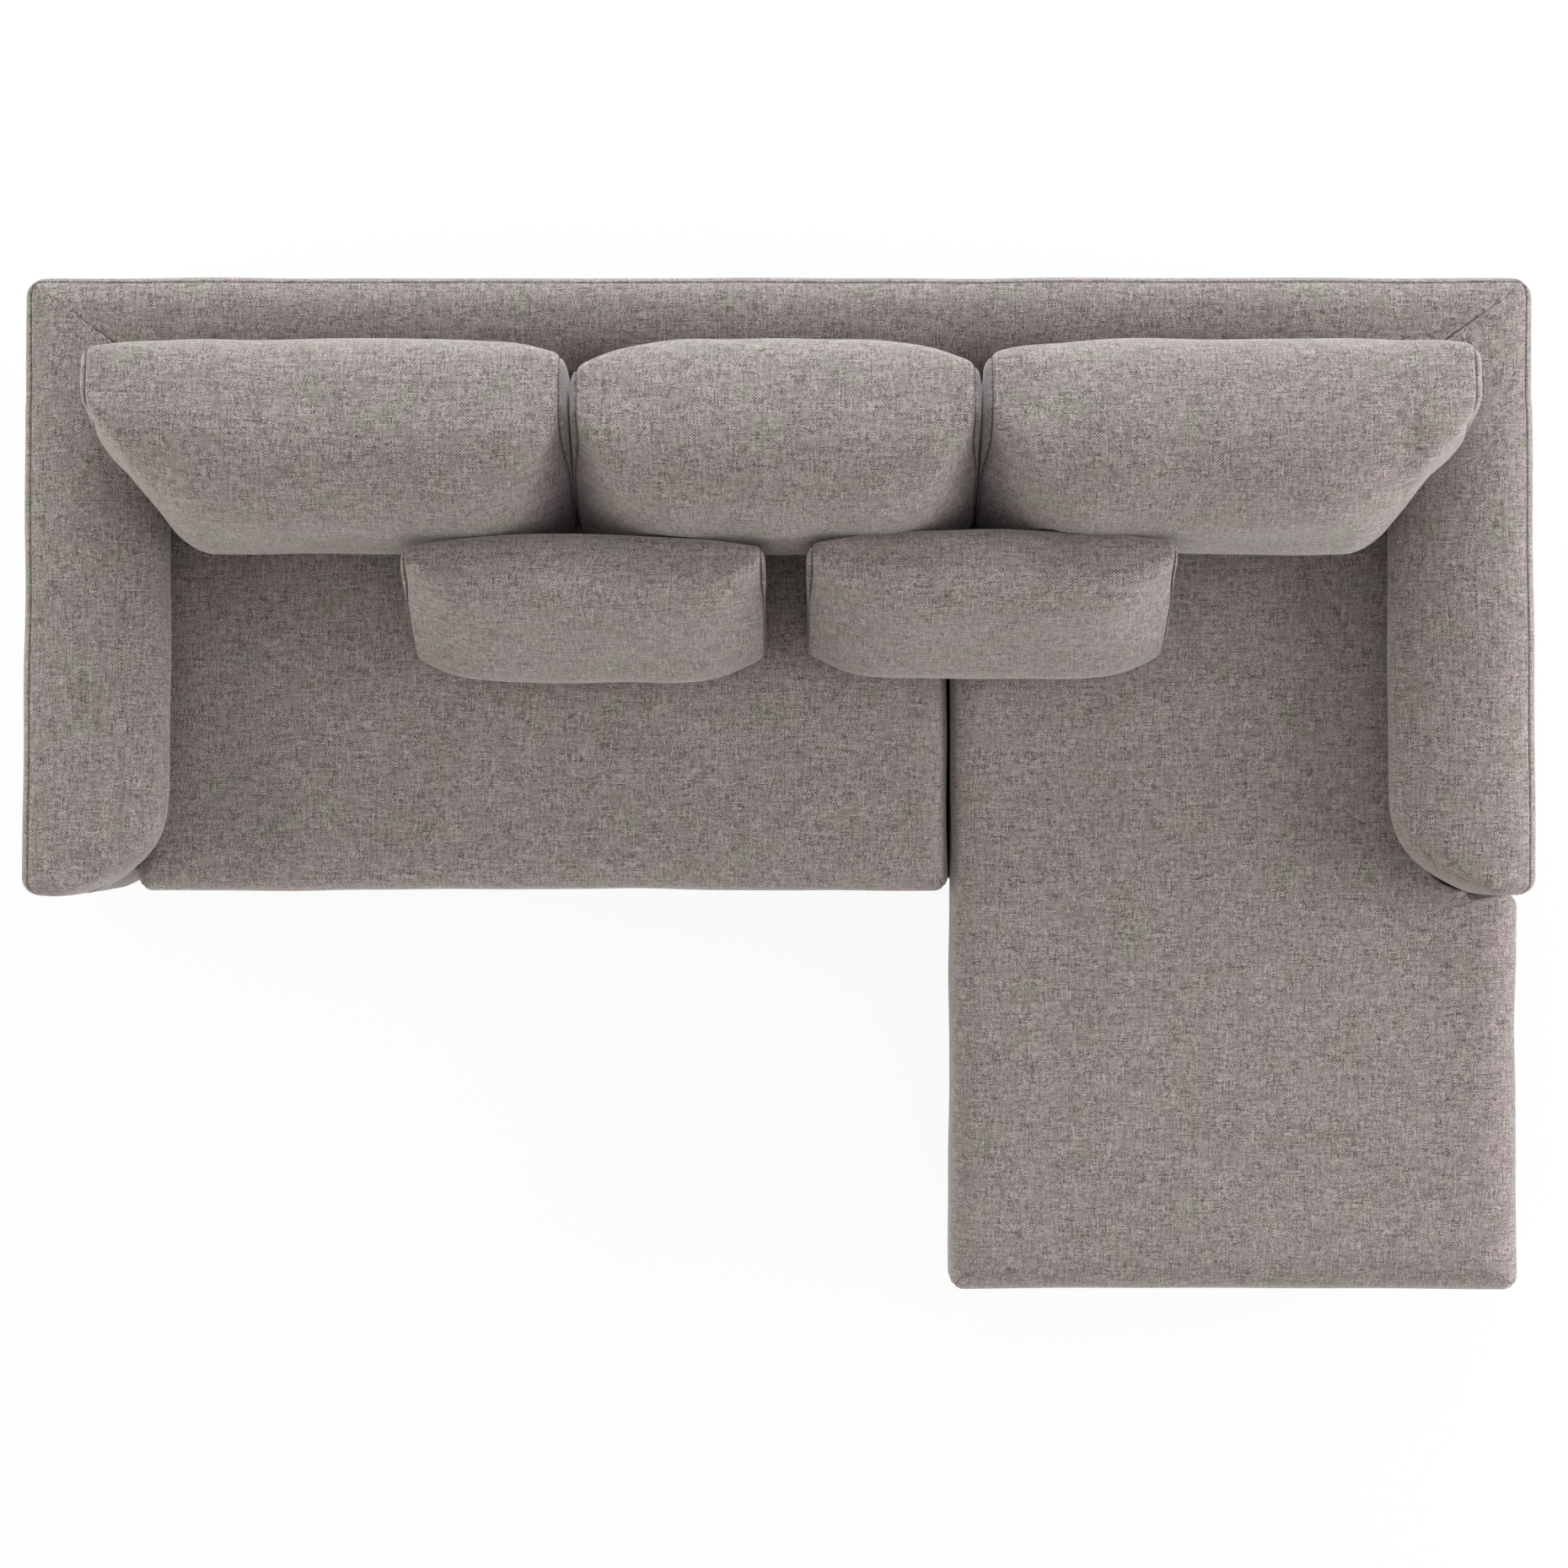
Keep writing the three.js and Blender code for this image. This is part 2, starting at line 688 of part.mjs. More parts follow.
function chaiseBasePieces() {
  const middleX = (chaiseLeftX + chaiseRightX) / 2;
  const leftRail = chaiseSideRail();
  const rightRail = mirrored(leftRail).translate(2 * middleX, 0, 0);
  const endLeft = chaiseLeftX + chaiseSkin + legBlock.width + clearance;
  const endRight = chaiseRightX - chaiseSkin - legBlock.width - clearance;
  const lowY = chaiseLowY + chaiseSkin;
  const highY = chaiseHighY - chaiseSkin;
  const frontRail = box([endLeft, lowY, timberZ], [endRight, lowY + timber.rail, railTopZ]);
  const backRail = box([endLeft, highY - timber.rail, timberZ], [endRight, highY, railTopZ]);
  const innerLow = [chaiseLeftX + chaiseSkin, lowY];
  const innerHigh = [chaiseRightX - chaiseSkin, highY];
  const outline = roundedRectangle(
    THREE.Shape, [chaiseLeftX, chaiseLowY], [chaiseRightX, chaiseHighY], chaiseBase.cornerRadius,
  );
  const hollow = box(
    [chaiseLeftX + chaiseBase.border, chaiseLowY + chaiseBase.border, hemZ - overrun],
    [chaiseRightX - chaiseBase.border, chaiseHighY - chaiseBase.border, deckTopZ + overrun],
  );
  const chaiseStraps = straps(
    innerLow[0], innerHigh[0], innerLow[1], innerHigh[1], webbing.chaiseStraps, webbing.crossStraps,
  );
  const deckLowZ = deckTopZ - deckThickness;
  return [
    piece('chaise_left_rail', leftRail, finishes.timber()),
    piece('chaise_right_rail', rightRail, finishes.timber()),
    piece('chaise_front_rail', frontRail, finishes.timber()),
    piece('chaise_back_rail', backRail, finishes.timber()),
    piece('chaise_border_cover', cut(upright(outline, hemZ, deckTopZ), [hollow]), finishes.fabric()),
    piece('chaise_webbing', chaiseStraps, finishes.webbing()),
    piece('chaise_deck', box([...innerLow, deckLowZ], [...innerHigh, deckTopZ]), finishes.cloth()),
    piece('chaise_dust_cover', dustCover(innerLow, innerHigh, chaiseLegs), finishes.cloth()),
  ];
}

// Legs

function turnedLeg() {
  const profile = [
    [0, 0],
    [leg.footRadius - leg.edge, 0],
    [leg.footRadius, leg.edge],
    [leg.topRadius, legHeight - leg.edge],
    [leg.topRadius - leg.edge, legHeight],
    [leg.studRadius, legHeight],
    [leg.studRadius, studTopZ],
    [0, studTopZ],
  ].map(([radius, height]) => new THREE.Vector2(radius, height));
  return new THREE.LatheGeometry(profile, leg.sides).rotateX(Math.PI / 2);
}

function legPlate() {
  const half = plate.size / 2;
  const outline = roundedRectangle(THREE.Shape, [-half, -half], [half, half], plate.corner);
  const corners = Array.from({ length: leg.sides }, (_, i) => {
    const angle = (-2 * Math.PI * i) / leg.sides;
    return new THREE.Vector2(studHoleRadius * Math.cos(angle), studHoleRadius * Math.sin(angle));
  });
  outline.holes.push(new THREE.Path(corners));
  return upright(outline, legHeight + clearance, legHeight + clearance + plate.thickness);
}

function legPieces(prefix, places) {
  return places.flatMap(([name, x, y]) => {
    const wood = piece(`${prefix}${name}_leg`, turnedLeg(), finishes.legWood());
    const steel = piece(`${prefix}${name}_leg_plate`, legPlate(), finishes.steel());
    wood.position.set(x, y, 0);
    steel.position.set(x, y, 0);
    return [wood, steel];
  });
}

// Seat cushions

const arcShape = { cover: 3, core: 2 };
const edgeShape = { cover: 4, core: 1 };

function cushionOutline(corners, inset, arcSteps, edgeSteps) {
  // Rounds each square corner, and draws each long edge in a little between its corners
  const loop = insetLoop(corners.map(([x, y]) => new THREE.Vector2(x, y)), inset, anticlockwise);
  const arcs = loop.map((corner, i) => {
    const before = loop[(i + loop.length - 1) % loop.length].clone().sub(corner).normalize();
    const after = loop[(i + 1) % loop.length].clone().sub(corner).normalize();
    const hollow = after.cross(before) < 0;
    const drawn = corners[i][2];
    const radius = hollow ? drawn + inset : Math.max(drawn - inset, drawn * sharpestCornerShare);
    const centre = corner.clone().addScaledVector(before, radius).addScaledVector(after, radius);
    const points = [];
    for (let k = 0; k <= arcSteps; k += 1) {
      const angle = (k * Math.PI) / 2 / arcSteps;
      points.push(centre.clone()
        .addScaledVector(after, -radius * Math.cos(angle))
        .addScaledVector(before, -radius * Math.sin(angle)));
    }
    return points;
  });
  return arcs.flatMap((arc, i) => {
    const start = arc[arc.length - 1];
    const end = arcs[(i + 1) % arcs.length][0];
    const along = end.clone().sub(start);
    const inwards = new THREE.Vector2(-along.y, along.x).normalize();
    const points = [...arc];
    for (let k = 1; k < edgeSteps; k += 1) {
      const share = k / edgeSteps;
      const bow = 4 * seat.bow * share * (1 - share);
      points.push(start.clone().addScaledVector(along, share).addScaledVector(inwards, bow));
    }
    return points;
  });
}

// The side of a seat cushion, as shares: how far in, against the bottom reach, and how high
const sideShares = [[1, 0], [0.36, 0.04], [0.1, 0.15], [0, 0.4], [0.05, 0.62]];
const crownDegrees = [25, 45, 65, 90];
const coreSideShares = [[1, 0], [0.1, 0.15], [0.05, 0.62]];
const coreCrownDegrees = [45, 90];

function seatRings(forCore) {
  const side = forCore ? coreSideShares : sideShares;
  const crown = forCore ? coreCrownDegrees : crownDegrees;
  const start = side[side.length - 1][1];
  const above = crown.map((degrees) => {
    const angle = THREE.MathUtils.degToRad(degrees);
    return [seat.crownReach * (1 - Math.cos(angle)), start + (1 - start) * Math.sin(angle)];
  });
  return [...side.map(([reach, height]) => [reach * seat.bottomReach, height]), ...above];
}

function seatSolid(corners, inset) {
  const forCore = inset > 0;
  const lowZ = deckTopZ + clearance + inset;
  const highZ = seatHeight - inset;
  const arcSteps = forCore ? arcShape.core : arcShape.cover;
  const edgeSteps = forCore ? edgeShape.core : edgeShape.cover;
  const rings = seatRings(forCore).map(([reach, height]) => {
    const outline = cushionOutline(corners, inset + reach, arcSteps, edgeSteps);
    return outline.map((point) => new THREE.Vector3(point.x, point.y, lowZ + height * (highZ - lowZ)));
  });
  return loft(rings, (point) => new THREE.Vector2(point.x, point.y));
}

function seatCushion(name, corners) {
  // The cover opens at its back seam, behind the bottom edge
  const xs = corners.map(([x]) => x);
  const rear = corners.filter(([, y]) => y === Math.max(...corners.map((place) => place[1])));
  const middleX = (rear[0][0] + rear[1][0]) / 2;
  const rearY = rear[0][1];
  const middleZ = deckTopZ + clearance + seatThickness / 2;
  const half = Math.min(zip.seatLength, Math.max(...xs) - Math.min(...xs)) / 2;
  const slit = box(
    [middleX - half, rearY - 2 * seat.wall, middleZ - zip.opening / 2],
    [middleX + half, rearY + overrun, middleZ + zip.opening / 2],
  );
  const cover = cut(seatSolid(corners, 0), [seatSolid(corners, seat.wall), slit]);
  const core = seatSolid(corners, seat.wall + seat.coreGap);
  return [
    piece(`${name}_cover`, cover, finishes.fabric()),
    piece(`${name}_core`, core, finishes.foam()),
  ];
}

const seatFrontY = armFrontY + seat.frontOverhang;
const seatSideX = baseSideX - clearance;
const seatRearY = baseBackY - clearance;
const chaiseEarY = armFrontY - 2 * clearance;

const benchCorners = [
  [-seatSideX, seatFrontY, seat.frontRadius],
  [seatSplit - seat.splitGap / 2, seatFrontY, seat.frontRadius],
  [seatSplit - seat.splitGap / 2, seatRearY, seat.backRadius],
  [-seatSideX, seatRearY, seat.backRadius],
];
const chaiseCorners = [
  [seatSplit + seat.splitGap / 2, chaiseFrontY, seat.frontRadius],
  [halfWidth - seat.chaiseInset, chaiseFrontY, seat.frontRadius],
  [halfWidth - seat.chaiseInset, chaiseEarY, seat.frontRadius],
  [seatSideX, chaiseEarY, seat.notchRadius],
  [seatSideX, seatRearY, seat.backRadius],
  [seatSplit + seat.splitGap / 2, seatRearY, seat.backRadius],
];

// Boxed cushions: a rounded section in depth and height, run from end to end

const sectionPower = 3;
const ringPoints = { cover: 20, core: 10 };
// Distances from an end, as shares of the reach over which that end is drawn in
const endShares = [0, 0.04, 0.13, 0.3, 0.6, 1];
const coreEndShares = [0, 0.3, 1];
const earShares = [0, 0.08, 0.25, 0.55, 1];

function drawnIn(distance, draw, reach) {
  // Full at the end itself, nothing past the reach
  return draw * Math.max(1 - Math.max(distance, 0) / reach, 0) ** 3;
}

function boxedStations(form, inset) {
  const shares = inset > 0 ? coreEndShares : endShares;
  const fromEnd = (ear) => {
    if (!ear) {
      return shares.map((share) => inset + share * form.endReach);
    }
    const beyond = earShares.map((share) => inset + share * (ear - inset));
    return [...beyond, ...shares.map((share) => ear + inset + form.armGap + share * form.endReach)];
  };
  const left = fromEnd(form.leftEar).map((distance) => form.left + distance);
  const right = fromEnd(form.rightEar).map((distance) => form.right - distance);
  return [...left, ...right.reverse()];
}

function boxedRing(form, x, inset, gap) {
  const tilt = THREE.MathUtils.degToRad(form.tiltDegrees);
  const fromLeft = x - form.left - inset;
  const fromRight = form.right - x - inset;
  const draw = (amount, reach) => drawnIn(fromLeft, amount, reach) + drawnIn(fromRight, amount, reach);
  const frontDraw = drawnIn(fromLeft, form.leftFrontDraw, form.leftReach)
    + drawnIn(fromRight, form.rightFrontDraw, form.rightReach);
  const nearest = Math.min(fromLeft, fromRight);
  const short = Math.max(form.endEdge - nearest, 0);
  const edge = inset + gap + form.endEdge - Math.sqrt(Math.max(form.endEdge ** 2 - short ** 2, 0));
  const front = -form.thickness / 2 + frontDraw + edge;
  const rear = form.thickness / 2 - draw(form.backDraw, form.endReach) - edge;
  const top = form.height / 2 - draw(form.topDraw, form.endReach) - edge;
  const onArm = (form.leftEar && x < form.left + form.leftEar + weld)
    || (form.rightEar && x > form.right - form.rightEar - weld);
  const lowest = armHeight + 2 * clearance + edge;
  const earBottom = (lowest - form.centreZ + rear * Math.sin(tilt)) / Math.cos(tilt);
  const bottom = onArm ? earBottom : -form.height / 2 + edge;
  const count = inset > 0 ? ringPoints.core : ringPoints.cover;
  const ring = [];
  for (let i = 0; i < count; i += 1) {
    const angle = (2 * Math.PI * i) / count;
    const rounded = (value) => Math.sign(value) * Math.abs(value) ** (2 / sectionPower);
    const depth = (front + rear) / 2 + ((rear - front) / 2) * rounded(Math.cos(angle));
    const height = (top + bottom) / 2 + ((top - bottom) / 2) * rounded(Math.sin(angle));
    const y = form.centreY + depth * Math.cos(tilt) + height * Math.sin(tilt);
    const z = form.centreZ + height * Math.cos(tilt) - depth * Math.sin(tilt);
    const within = Math.min(Math.max(x, form.left + inset + gap), form.right - inset - gap);
    ring.push(new THREE.Vector3(within, y, Math.max(z, seatHeight + clearance + inset + gap)));
  }
  return ring;
}

function boxedSolid(form, inset, gap) {
  const rings = boxedStations(form, inset).map((x) => boxedRing(form, x, inset, gap));
  return loft(rings, (point) => new THREE.Vector2(point.y, point.z));
}

function boxedCushion(form) {
  // The cover opens along its bottom
  const middleX = (form.left + form.right) / 2;
  const half = form.zipLength / 2;
  const bottomZ = seatHeight + clearance;
  const tilt = THREE.MathUtils.degToRad(form.tiltDegrees);
  const bottomY = form.centreY - (form.height / 2) * Math.sin(tilt);
  const slit = box(
    [middleX - half, bottomY - zip.opening / 2, bottomZ - overrun],
    [middleX + half, bottomY + zip.opening / 2, bottomZ + overrun],
  );
  const cover = cut(boxedSolid(form, 0, 0), [boxedSolid(form, seat.wall, 0), slit]);
  const core = boxedSolid(form, seat.wall, seat.coreGap);
  return [
    piece(`${form.name}_cover`, cover, finishes.fabric()),
    piece(`${form.name}_core`, core, finishes.foam()),
  ];
}

function standingHeight(form, sink) {
  // Height of the middle, so that the lowest point lies at the seat, less what is pressed flat
  const tilt = THREE.MathUtils.degToRad(form.tiltDegrees);
  const power = sectionPower / (sectionPower - 1);
  const tall = ((form.height / 2) * Math.cos(tilt)) ** power;
  const deep = ((form.thickness / 2) * Math.sin(tilt)) ** power;
  return seatHeight + (tall + deep) ** (1 / power) - sink;
}

const backStanding = standingHeight(backCushion, pressedFlat);
const lumbarStanding = standingHeight(lumbar, pressedFlat);
const backTilt = THREE.MathUtils.degToRad(backCushion.tiltDegrees);
const lumbarLean = THREE.MathUtils.degToRad(lumbar.tiltDegrees - backCushion.tiltDegrees);

function backCushionDepth() {
  // The rear face clears the back's roll all the way when the cushion is drawn up along its tilt
  const section = paddedSection(backOuterX - wallX, arm.overhang, 0, hemZ);
  const reaches = section.map((point) => {
    const face = backCushion.thickness / 2 + clearance + (point.y - backStanding) * Math.sin(backTilt);
    return backY - point.x * mitreShare - face / Math.cos(backTilt);
  });
  return Math.min(...reaches);
}

function lumbarDepth(cushionY) {
  // The pillow leans on the front plane of the back cushions
  const power = sectionPower / (sectionPower - 1);
  const deep = ((lumbar.thickness / 2) * Math.cos(lumbarLean)) ** power;
  const tall = ((lumbar.height / 2) * Math.sin(lumbarLean)) ** power;
  const reach = (deep + tall) ** (1 / power) + clearance + backCushion.thickness / 2;
  return cushionY - (reach + (backStanding - lumbarStanding) * Math.sin(backTilt)) / Math.cos(backTilt);
}

const backCushionY = backCushionDepth();
const lumbarY = lumbarDepth(backCushionY);

function backCushionForm(name, left, right, leftEar, rightEar) {
  const shared = { ...backCushion, name, left, right, leftEar, rightEar };
  const drawOf = (ear) => (ear ? backCushion.outerFrontDraw : backCushion.innerFrontDraw);
  return {
    ...shared,
    leftFrontDraw: drawOf(leftEar),
    rightFrontDraw: drawOf(rightEar),
    leftReach: backCushion.endReach + leftEar,
    rightReach: backCushion.endReach + rightEar,
    centreY: backCushionY,
    centreZ: backStanding,
  };
}

function lumbarForm(name, centre) {
  return {
    ...lumbar,
    name,
    left: centre - lumbar.width / 2,
    right: centre + lumbar.width / 2,
    leftEar: 0,
    rightEar: 0,
    leftFrontDraw: lumbar.frontDraw,
    rightFrontDraw: lumbar.frontDraw,
    leftReach: lumbar.endReach,
    rightReach: lumbar.endReach,
    centreY: lumbarY,
    centreZ: lumbarStanding,
  };
}

const backLeftX = -halfWidth + backCushion.leftEnd;
const backRightX = halfWidth - backCushion.rightEnd;
const halfGap = backCushion.gap / 2;
const backForms = [
  backCushionForm(
    'left_back_cushion', backLeftX, backCushion.leftJoint - halfGap, -rollX - backLeftX, 0,
  ),
  backCushionForm(
    'middle_back_cushion', backCushion.leftJoint + halfGap, backCushion.rightJoint - halfGap, 0, 0,
  ),
  backCushionForm(
    'right_back_cushion', backCushion.rightJoint + halfGap, backRightX, 0, backRightX - rollX,
  ),
];
const lumbarForms = [
  lumbarForm('left_lumbar_pillow', lumbar.leftCentre),
  lumbarForm('right_lumbar_pillow', lumbar.rightCentre),
];

// The whole sofa

function group(...pieces) {
  const made = new THREE.Group();
  made.add(...pieces.flat(2));
  return made;
}

const sofaLegs = [
  ['front_left', -armLegX, armLegFrontY],
  ['front_right', armLegX, armLegFrontY],
  ['rear_left', -armLegX, armLegBackY],
  ['rear_right', armLegX, armLegBackY],
  ['centre', 0, centreLegY],
];
const chaiseLegNames = ['front_left', 'front_right', 'rear_left', 'rear_right'];
const rightArmFrame = armFrame();

const sofaFrame = group(
  piece('right_arm_frame', rightArmFrame, finishes.timber()),
  piece('left_arm_frame', mirrored(rightArmFrame), finishes.timber()),
  piece('back_frame', backFrame(), finishes.timber()),
  sofaBasePieces(),
  upholstery(),
  legPieces('', sofaLegs),
);
const chaiseFrame = group(
  chaiseBasePieces(),
  legPieces('chaise_', chaiseLegs.map(([x, y], i) => [chaiseLegNames[i], x, y])),
);
const cushions = group(
  seatCushion('bench_cushion', benchCorners),
  seatCushion('chaise_cushion', chaiseCorners),
  backForms.map(boxedCushion),
  lumbarForms.map(boxedCushion),
);

export default group(sofaFrame, chaiseFrame, cushions);
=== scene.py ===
"""Upholstery, timber and studio for a sectional sofa with a chaise.

Everything is in metres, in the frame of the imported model: +X is the right of someone who faces the
sofa, +Y its back and +Z up, with the origin on the floor in the middle of the plan.
"""

import json
import math

import bmesh
import bpy
import numpy as np
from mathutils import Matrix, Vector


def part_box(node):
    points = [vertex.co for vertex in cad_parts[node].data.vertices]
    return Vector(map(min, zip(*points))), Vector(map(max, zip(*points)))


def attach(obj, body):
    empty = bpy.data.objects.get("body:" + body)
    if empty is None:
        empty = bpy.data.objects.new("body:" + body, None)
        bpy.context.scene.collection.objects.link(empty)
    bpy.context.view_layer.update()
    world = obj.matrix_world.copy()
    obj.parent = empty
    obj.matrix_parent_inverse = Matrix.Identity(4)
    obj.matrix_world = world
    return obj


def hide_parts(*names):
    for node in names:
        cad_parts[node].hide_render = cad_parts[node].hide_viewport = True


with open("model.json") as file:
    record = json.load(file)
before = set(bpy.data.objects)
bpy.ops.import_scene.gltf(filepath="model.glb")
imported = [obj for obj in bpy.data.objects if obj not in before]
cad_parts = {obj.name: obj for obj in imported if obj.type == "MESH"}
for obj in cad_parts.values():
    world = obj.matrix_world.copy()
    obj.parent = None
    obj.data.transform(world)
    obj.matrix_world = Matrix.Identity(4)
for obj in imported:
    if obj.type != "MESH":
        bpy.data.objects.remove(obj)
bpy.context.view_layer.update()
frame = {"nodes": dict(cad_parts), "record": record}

bl_info = {
    "name": "Sofa with chaise",
    "version": (1, 0, 0),
    "blender": (4, 5, 0),
    "location": "3D View > Sidebar > Sofa",
    "description": "Makes the upholstery, cushions, legs and studio of a sectional sofa with a chaise",
    "category": "Add Mesh",
}

ARM_LOW, ARM_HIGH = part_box("right_arm_cover")
BACK_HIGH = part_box("back_cover")[1]
BENCH_LOW, BENCH_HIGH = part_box("bench_cushion_cover")
CHAISE_LOW, CHAISE_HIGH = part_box("chaise_cushion_cover")


class SofaShape(bpy.types.PropertyGroup):
    """Sizes of the padded arms, the back and the bases."""

    outer_side: bpy.props.FloatProperty(
        name="Outer side", description="Outer face of an arm at the back, from the middle of the sofa",
        default=ARM_HIGH[0] - 0.007 + 0.0001, unit="LENGTH")
    back_face: bpy.props.FloatProperty(
        name="Back face", description="Outer face of the back", default=BACK_HIGH[1], unit="LENGTH")
    arm_front: bpy.props.FloatProperty(
        name="Arm front", description="Front face of the arms", default=ARM_LOW[1], unit="LENGTH")
    top: bpy.props.FloatProperty(
        name="Top", description="Height of the arms and the back", default=ARM_HIGH[2], unit="LENGTH")
    hem: bpy.props.FloatProperty(
        name="Hem", description="Height of the lower edge of the upholstery", default=ARM_LOW[2],
        unit="LENGTH")
    lining: bpy.props.FloatProperty(
        name="Lining", description="Height of the cloth under the arms", default=0.13345, unit="LENGTH")
    wall: bpy.props.FloatProperty(
        name="Wall", description="Width of an arm under its roll, at the back", default=0.156, unit="LENGTH")
    overhang: bpy.props.FloatProperty(
        name="Overhang", description="How far the roll hangs over the seat", default=0.074, unit="LENGTH")
    flare: bpy.props.FloatProperty(
        name="Flare", description="How far an arm spreads outwards at its front", default=0.007,
        unit="LENGTH")
    front_width: bpy.props.FloatProperty(
        name="Front width", description="Width of an arm at its front face", default=0.118, unit="LENGTH")
    front_taper: bpy.props.FloatProperty(
        name="Front taper", description="Length over which most of the roll is drawn in", default=0.057,
        unit="LENGTH")
    front_edge: bpy.props.FloatProperty(
        name="Front edge", description="Radius round the front face of an arm", default=0.024, unit="LENGTH")
    front_bow: bpy.props.FloatProperty(
        name="Front bow", description="How far the middle of an arm's front stands before its sides",
        default=0.006, unit="LENGTH")
    back_depth: bpy.props.FloatProperty(
        name="Back depth", description="Depth of the back at its roll", default=0.166, unit="LENGTH")
    corner: bpy.props.FloatProperty(
        name="Corner", description="Radius of the two back corners in plan", default=0.058, unit="LENGTH")
    fold: bpy.props.FloatProperty(
        name="Fold", description="Width of cloth turned under at the hem", default=0.025, unit="LENGTH")


class SofaSeams(bpy.types.PropertyGroup):
    """Sewn seams of the upholstery."""

    drop: bpy.props.FloatProperty(
        name="Top seam", description="How far the top seam lies under the top", default=0.0145, unit="LENGTH")
    depth: bpy.props.FloatProperty(
        name="Depth", description="Depth of a seam's groove", default=0.0022, unit="LENGTH")
    width: bpy.props.FloatProperty(
        name="Width", description="Half width of a seam's groove", default=0.0026, unit="LENGTH")
    mitre: bpy.props.FloatProperty(
        name="Mitre", description="How far the cloth turns in at the mitred corners", default=0.0022,
        unit="LENGTH")


class SofaCloth(bpy.types.PropertyGroup):
    """Colours and threads of the cloth."""

    light: bpy.props.FloatVectorProperty(
        name="Light thread", description="Colour of the lightest threads", subtype="COLOR", size=3,
        default=(0.427, 0.379, 0.357))
    dark: bpy.props.FloatVectorProperty(
        name="Dark thread", description="Colour of the darkest threads", subtype="COLOR", size=3,
        default=(0.088, 0.070, 0.069))
    green: bpy.props.FloatVectorProperty(
        name="Green cast", description="Cast of the greener patches", subtype="COLOR", size=3,
        default=(0.935, 1.024, 0.91))
    warm: bpy.props.FloatVectorProperty(
        name="Warm cast", description="Cast of the redder patches", subtype="COLOR", size=3,
        default=(1.03, 0.978, 1.032))
    warp: bpy.props.FloatProperty(
        name="Warp", description="Distance between threads across the cloth", default=0.0054, unit="LENGTH")
    weft: bpy.props.FloatProperty(
        name="Weft", description="Distance between threads along the cloth", default=0.00475, unit="LENGTH")


class SofaStage(bpy.types.PropertyGroup):
    """Camera, lamps and floor."""

    lens: bpy.props.FloatProperty(
        name="Lens", description="Focal length in millimetres", default=85.0)
    height: bpy.props.FloatProperty(
        name="Camera height", description="Height of the camera over the floor", default=6.673, unit="LENGTH")
    aim: bpy.props.FloatVectorProperty(
        name="Camera place", description="Place of the camera in plan", size=2, default=(0.0084, 0.0091),
        unit="LENGTH")
    right: bpy.props.FloatProperty(
        name="Right lamp", description="Power of the low lamp on the right, in watts", default=226.0)
    rear: bpy.props.FloatProperty(
        name="Rear lamp", description="Power of the low lamp behind, in watts", default=238.0)
    left: bpy.props.FloatProperty(
        name="Left lamp", description="Power of the low lamp on the left, in watts", default=108.0)
    front: bpy.props.FloatProperty(
        name="Front lamp", description="Power of the low lamp in front, in watts", default=38.0)
    sky: bpy.props.FloatProperty(
        name="Sky", description="Strength of the light from all round", default=0.63)


# Arrays and meshes


def smooth_step(value):
    """0 below 0, 1 above 1, with a level start and end between them."""
    share = np.clip(value, 0.0, 1.0)
    return share * share * (3.0 - 2.0 * share)


def fall(distance, reach, power):
    """Falls from 1 where the distance is nothing to 0 at the reach, by a power of what is left of it."""
    return np.maximum(1.0 - distance / reach, 0.0) ** power


def superellipse(angle, power):
    """Distance from the middle to a superellipse of half sizes 1, in the direction of each angle."""
    return (np.abs(np.cos(angle)) ** power + np.abs(np.sin(angle)) ** power) ** (-1.0 / power)


def cubic(a, b, c, d, t):
    """Bezier curve: the four points weighted by the cubic Bernstein polynomials of t."""
    s = 1.0 - t
    return s**3 * a + 3.0 * s**2 * t * b + 3.0 * s * t**2 * c + t**3 * d


def run_length(points, axis):
    """Distance travelled along one axis of a grid of points, starting from zero."""
    steps = np.linalg.norm(np.diff(points, axis=axis), axis=-1)
    start = np.zeros_like(np.take(steps, [0], axis=axis))
    return np.concatenate([start, np.cumsum(steps, axis=axis)], axis=axis)


def outward(points):
    """Unit normals of a grid of rings, whose last column repeats the first, away from each ring's middle."""
    ring = points[:, :-1]
    across = np.roll(ring, -1, axis=1) - np.roll(ring, 1, axis=1)
    across = np.concatenate([across, across[:, :1]], axis=1)
    normal = np.cross(np.gradient(points, axis=0), across)
    normal /= np.maximum(np.linalg.norm(normal, axis=-1, keepdims=True), 1e-12)
    off = points - ring.mean(axis=1, keepdims=True)
    return normal if np.sum(normal * off) > 0 else -normal


def waves(points, seed, length, height):
    """Soft unevenness: a sum of plane sine waves in random directions, about one length long."""
    chance = np.random.default_rng(seed)
    count = 14
    heading = chance.normal(size=(3, count))
    heading /= np.linalg.norm(heading, axis=0)
    pace = 2.0 * math.pi / (length * chance.uniform(0.7, 1.5, count))
    phase = chance.uniform(0.0, 2.0 * math.pi, count)
    total = np.sin((points @ heading) * pace + phase).sum(axis=-1)
    return height * total / math.sqrt(count / 2.0)


def sheet(points, place, material=0, seam=None):
    """One grid of a mesh: its points, its cloth coordinates, its material and its seam shade."""
    shade = np.zeros(points.shape[:2]) if seam is None else seam
    return points, place, material, shade


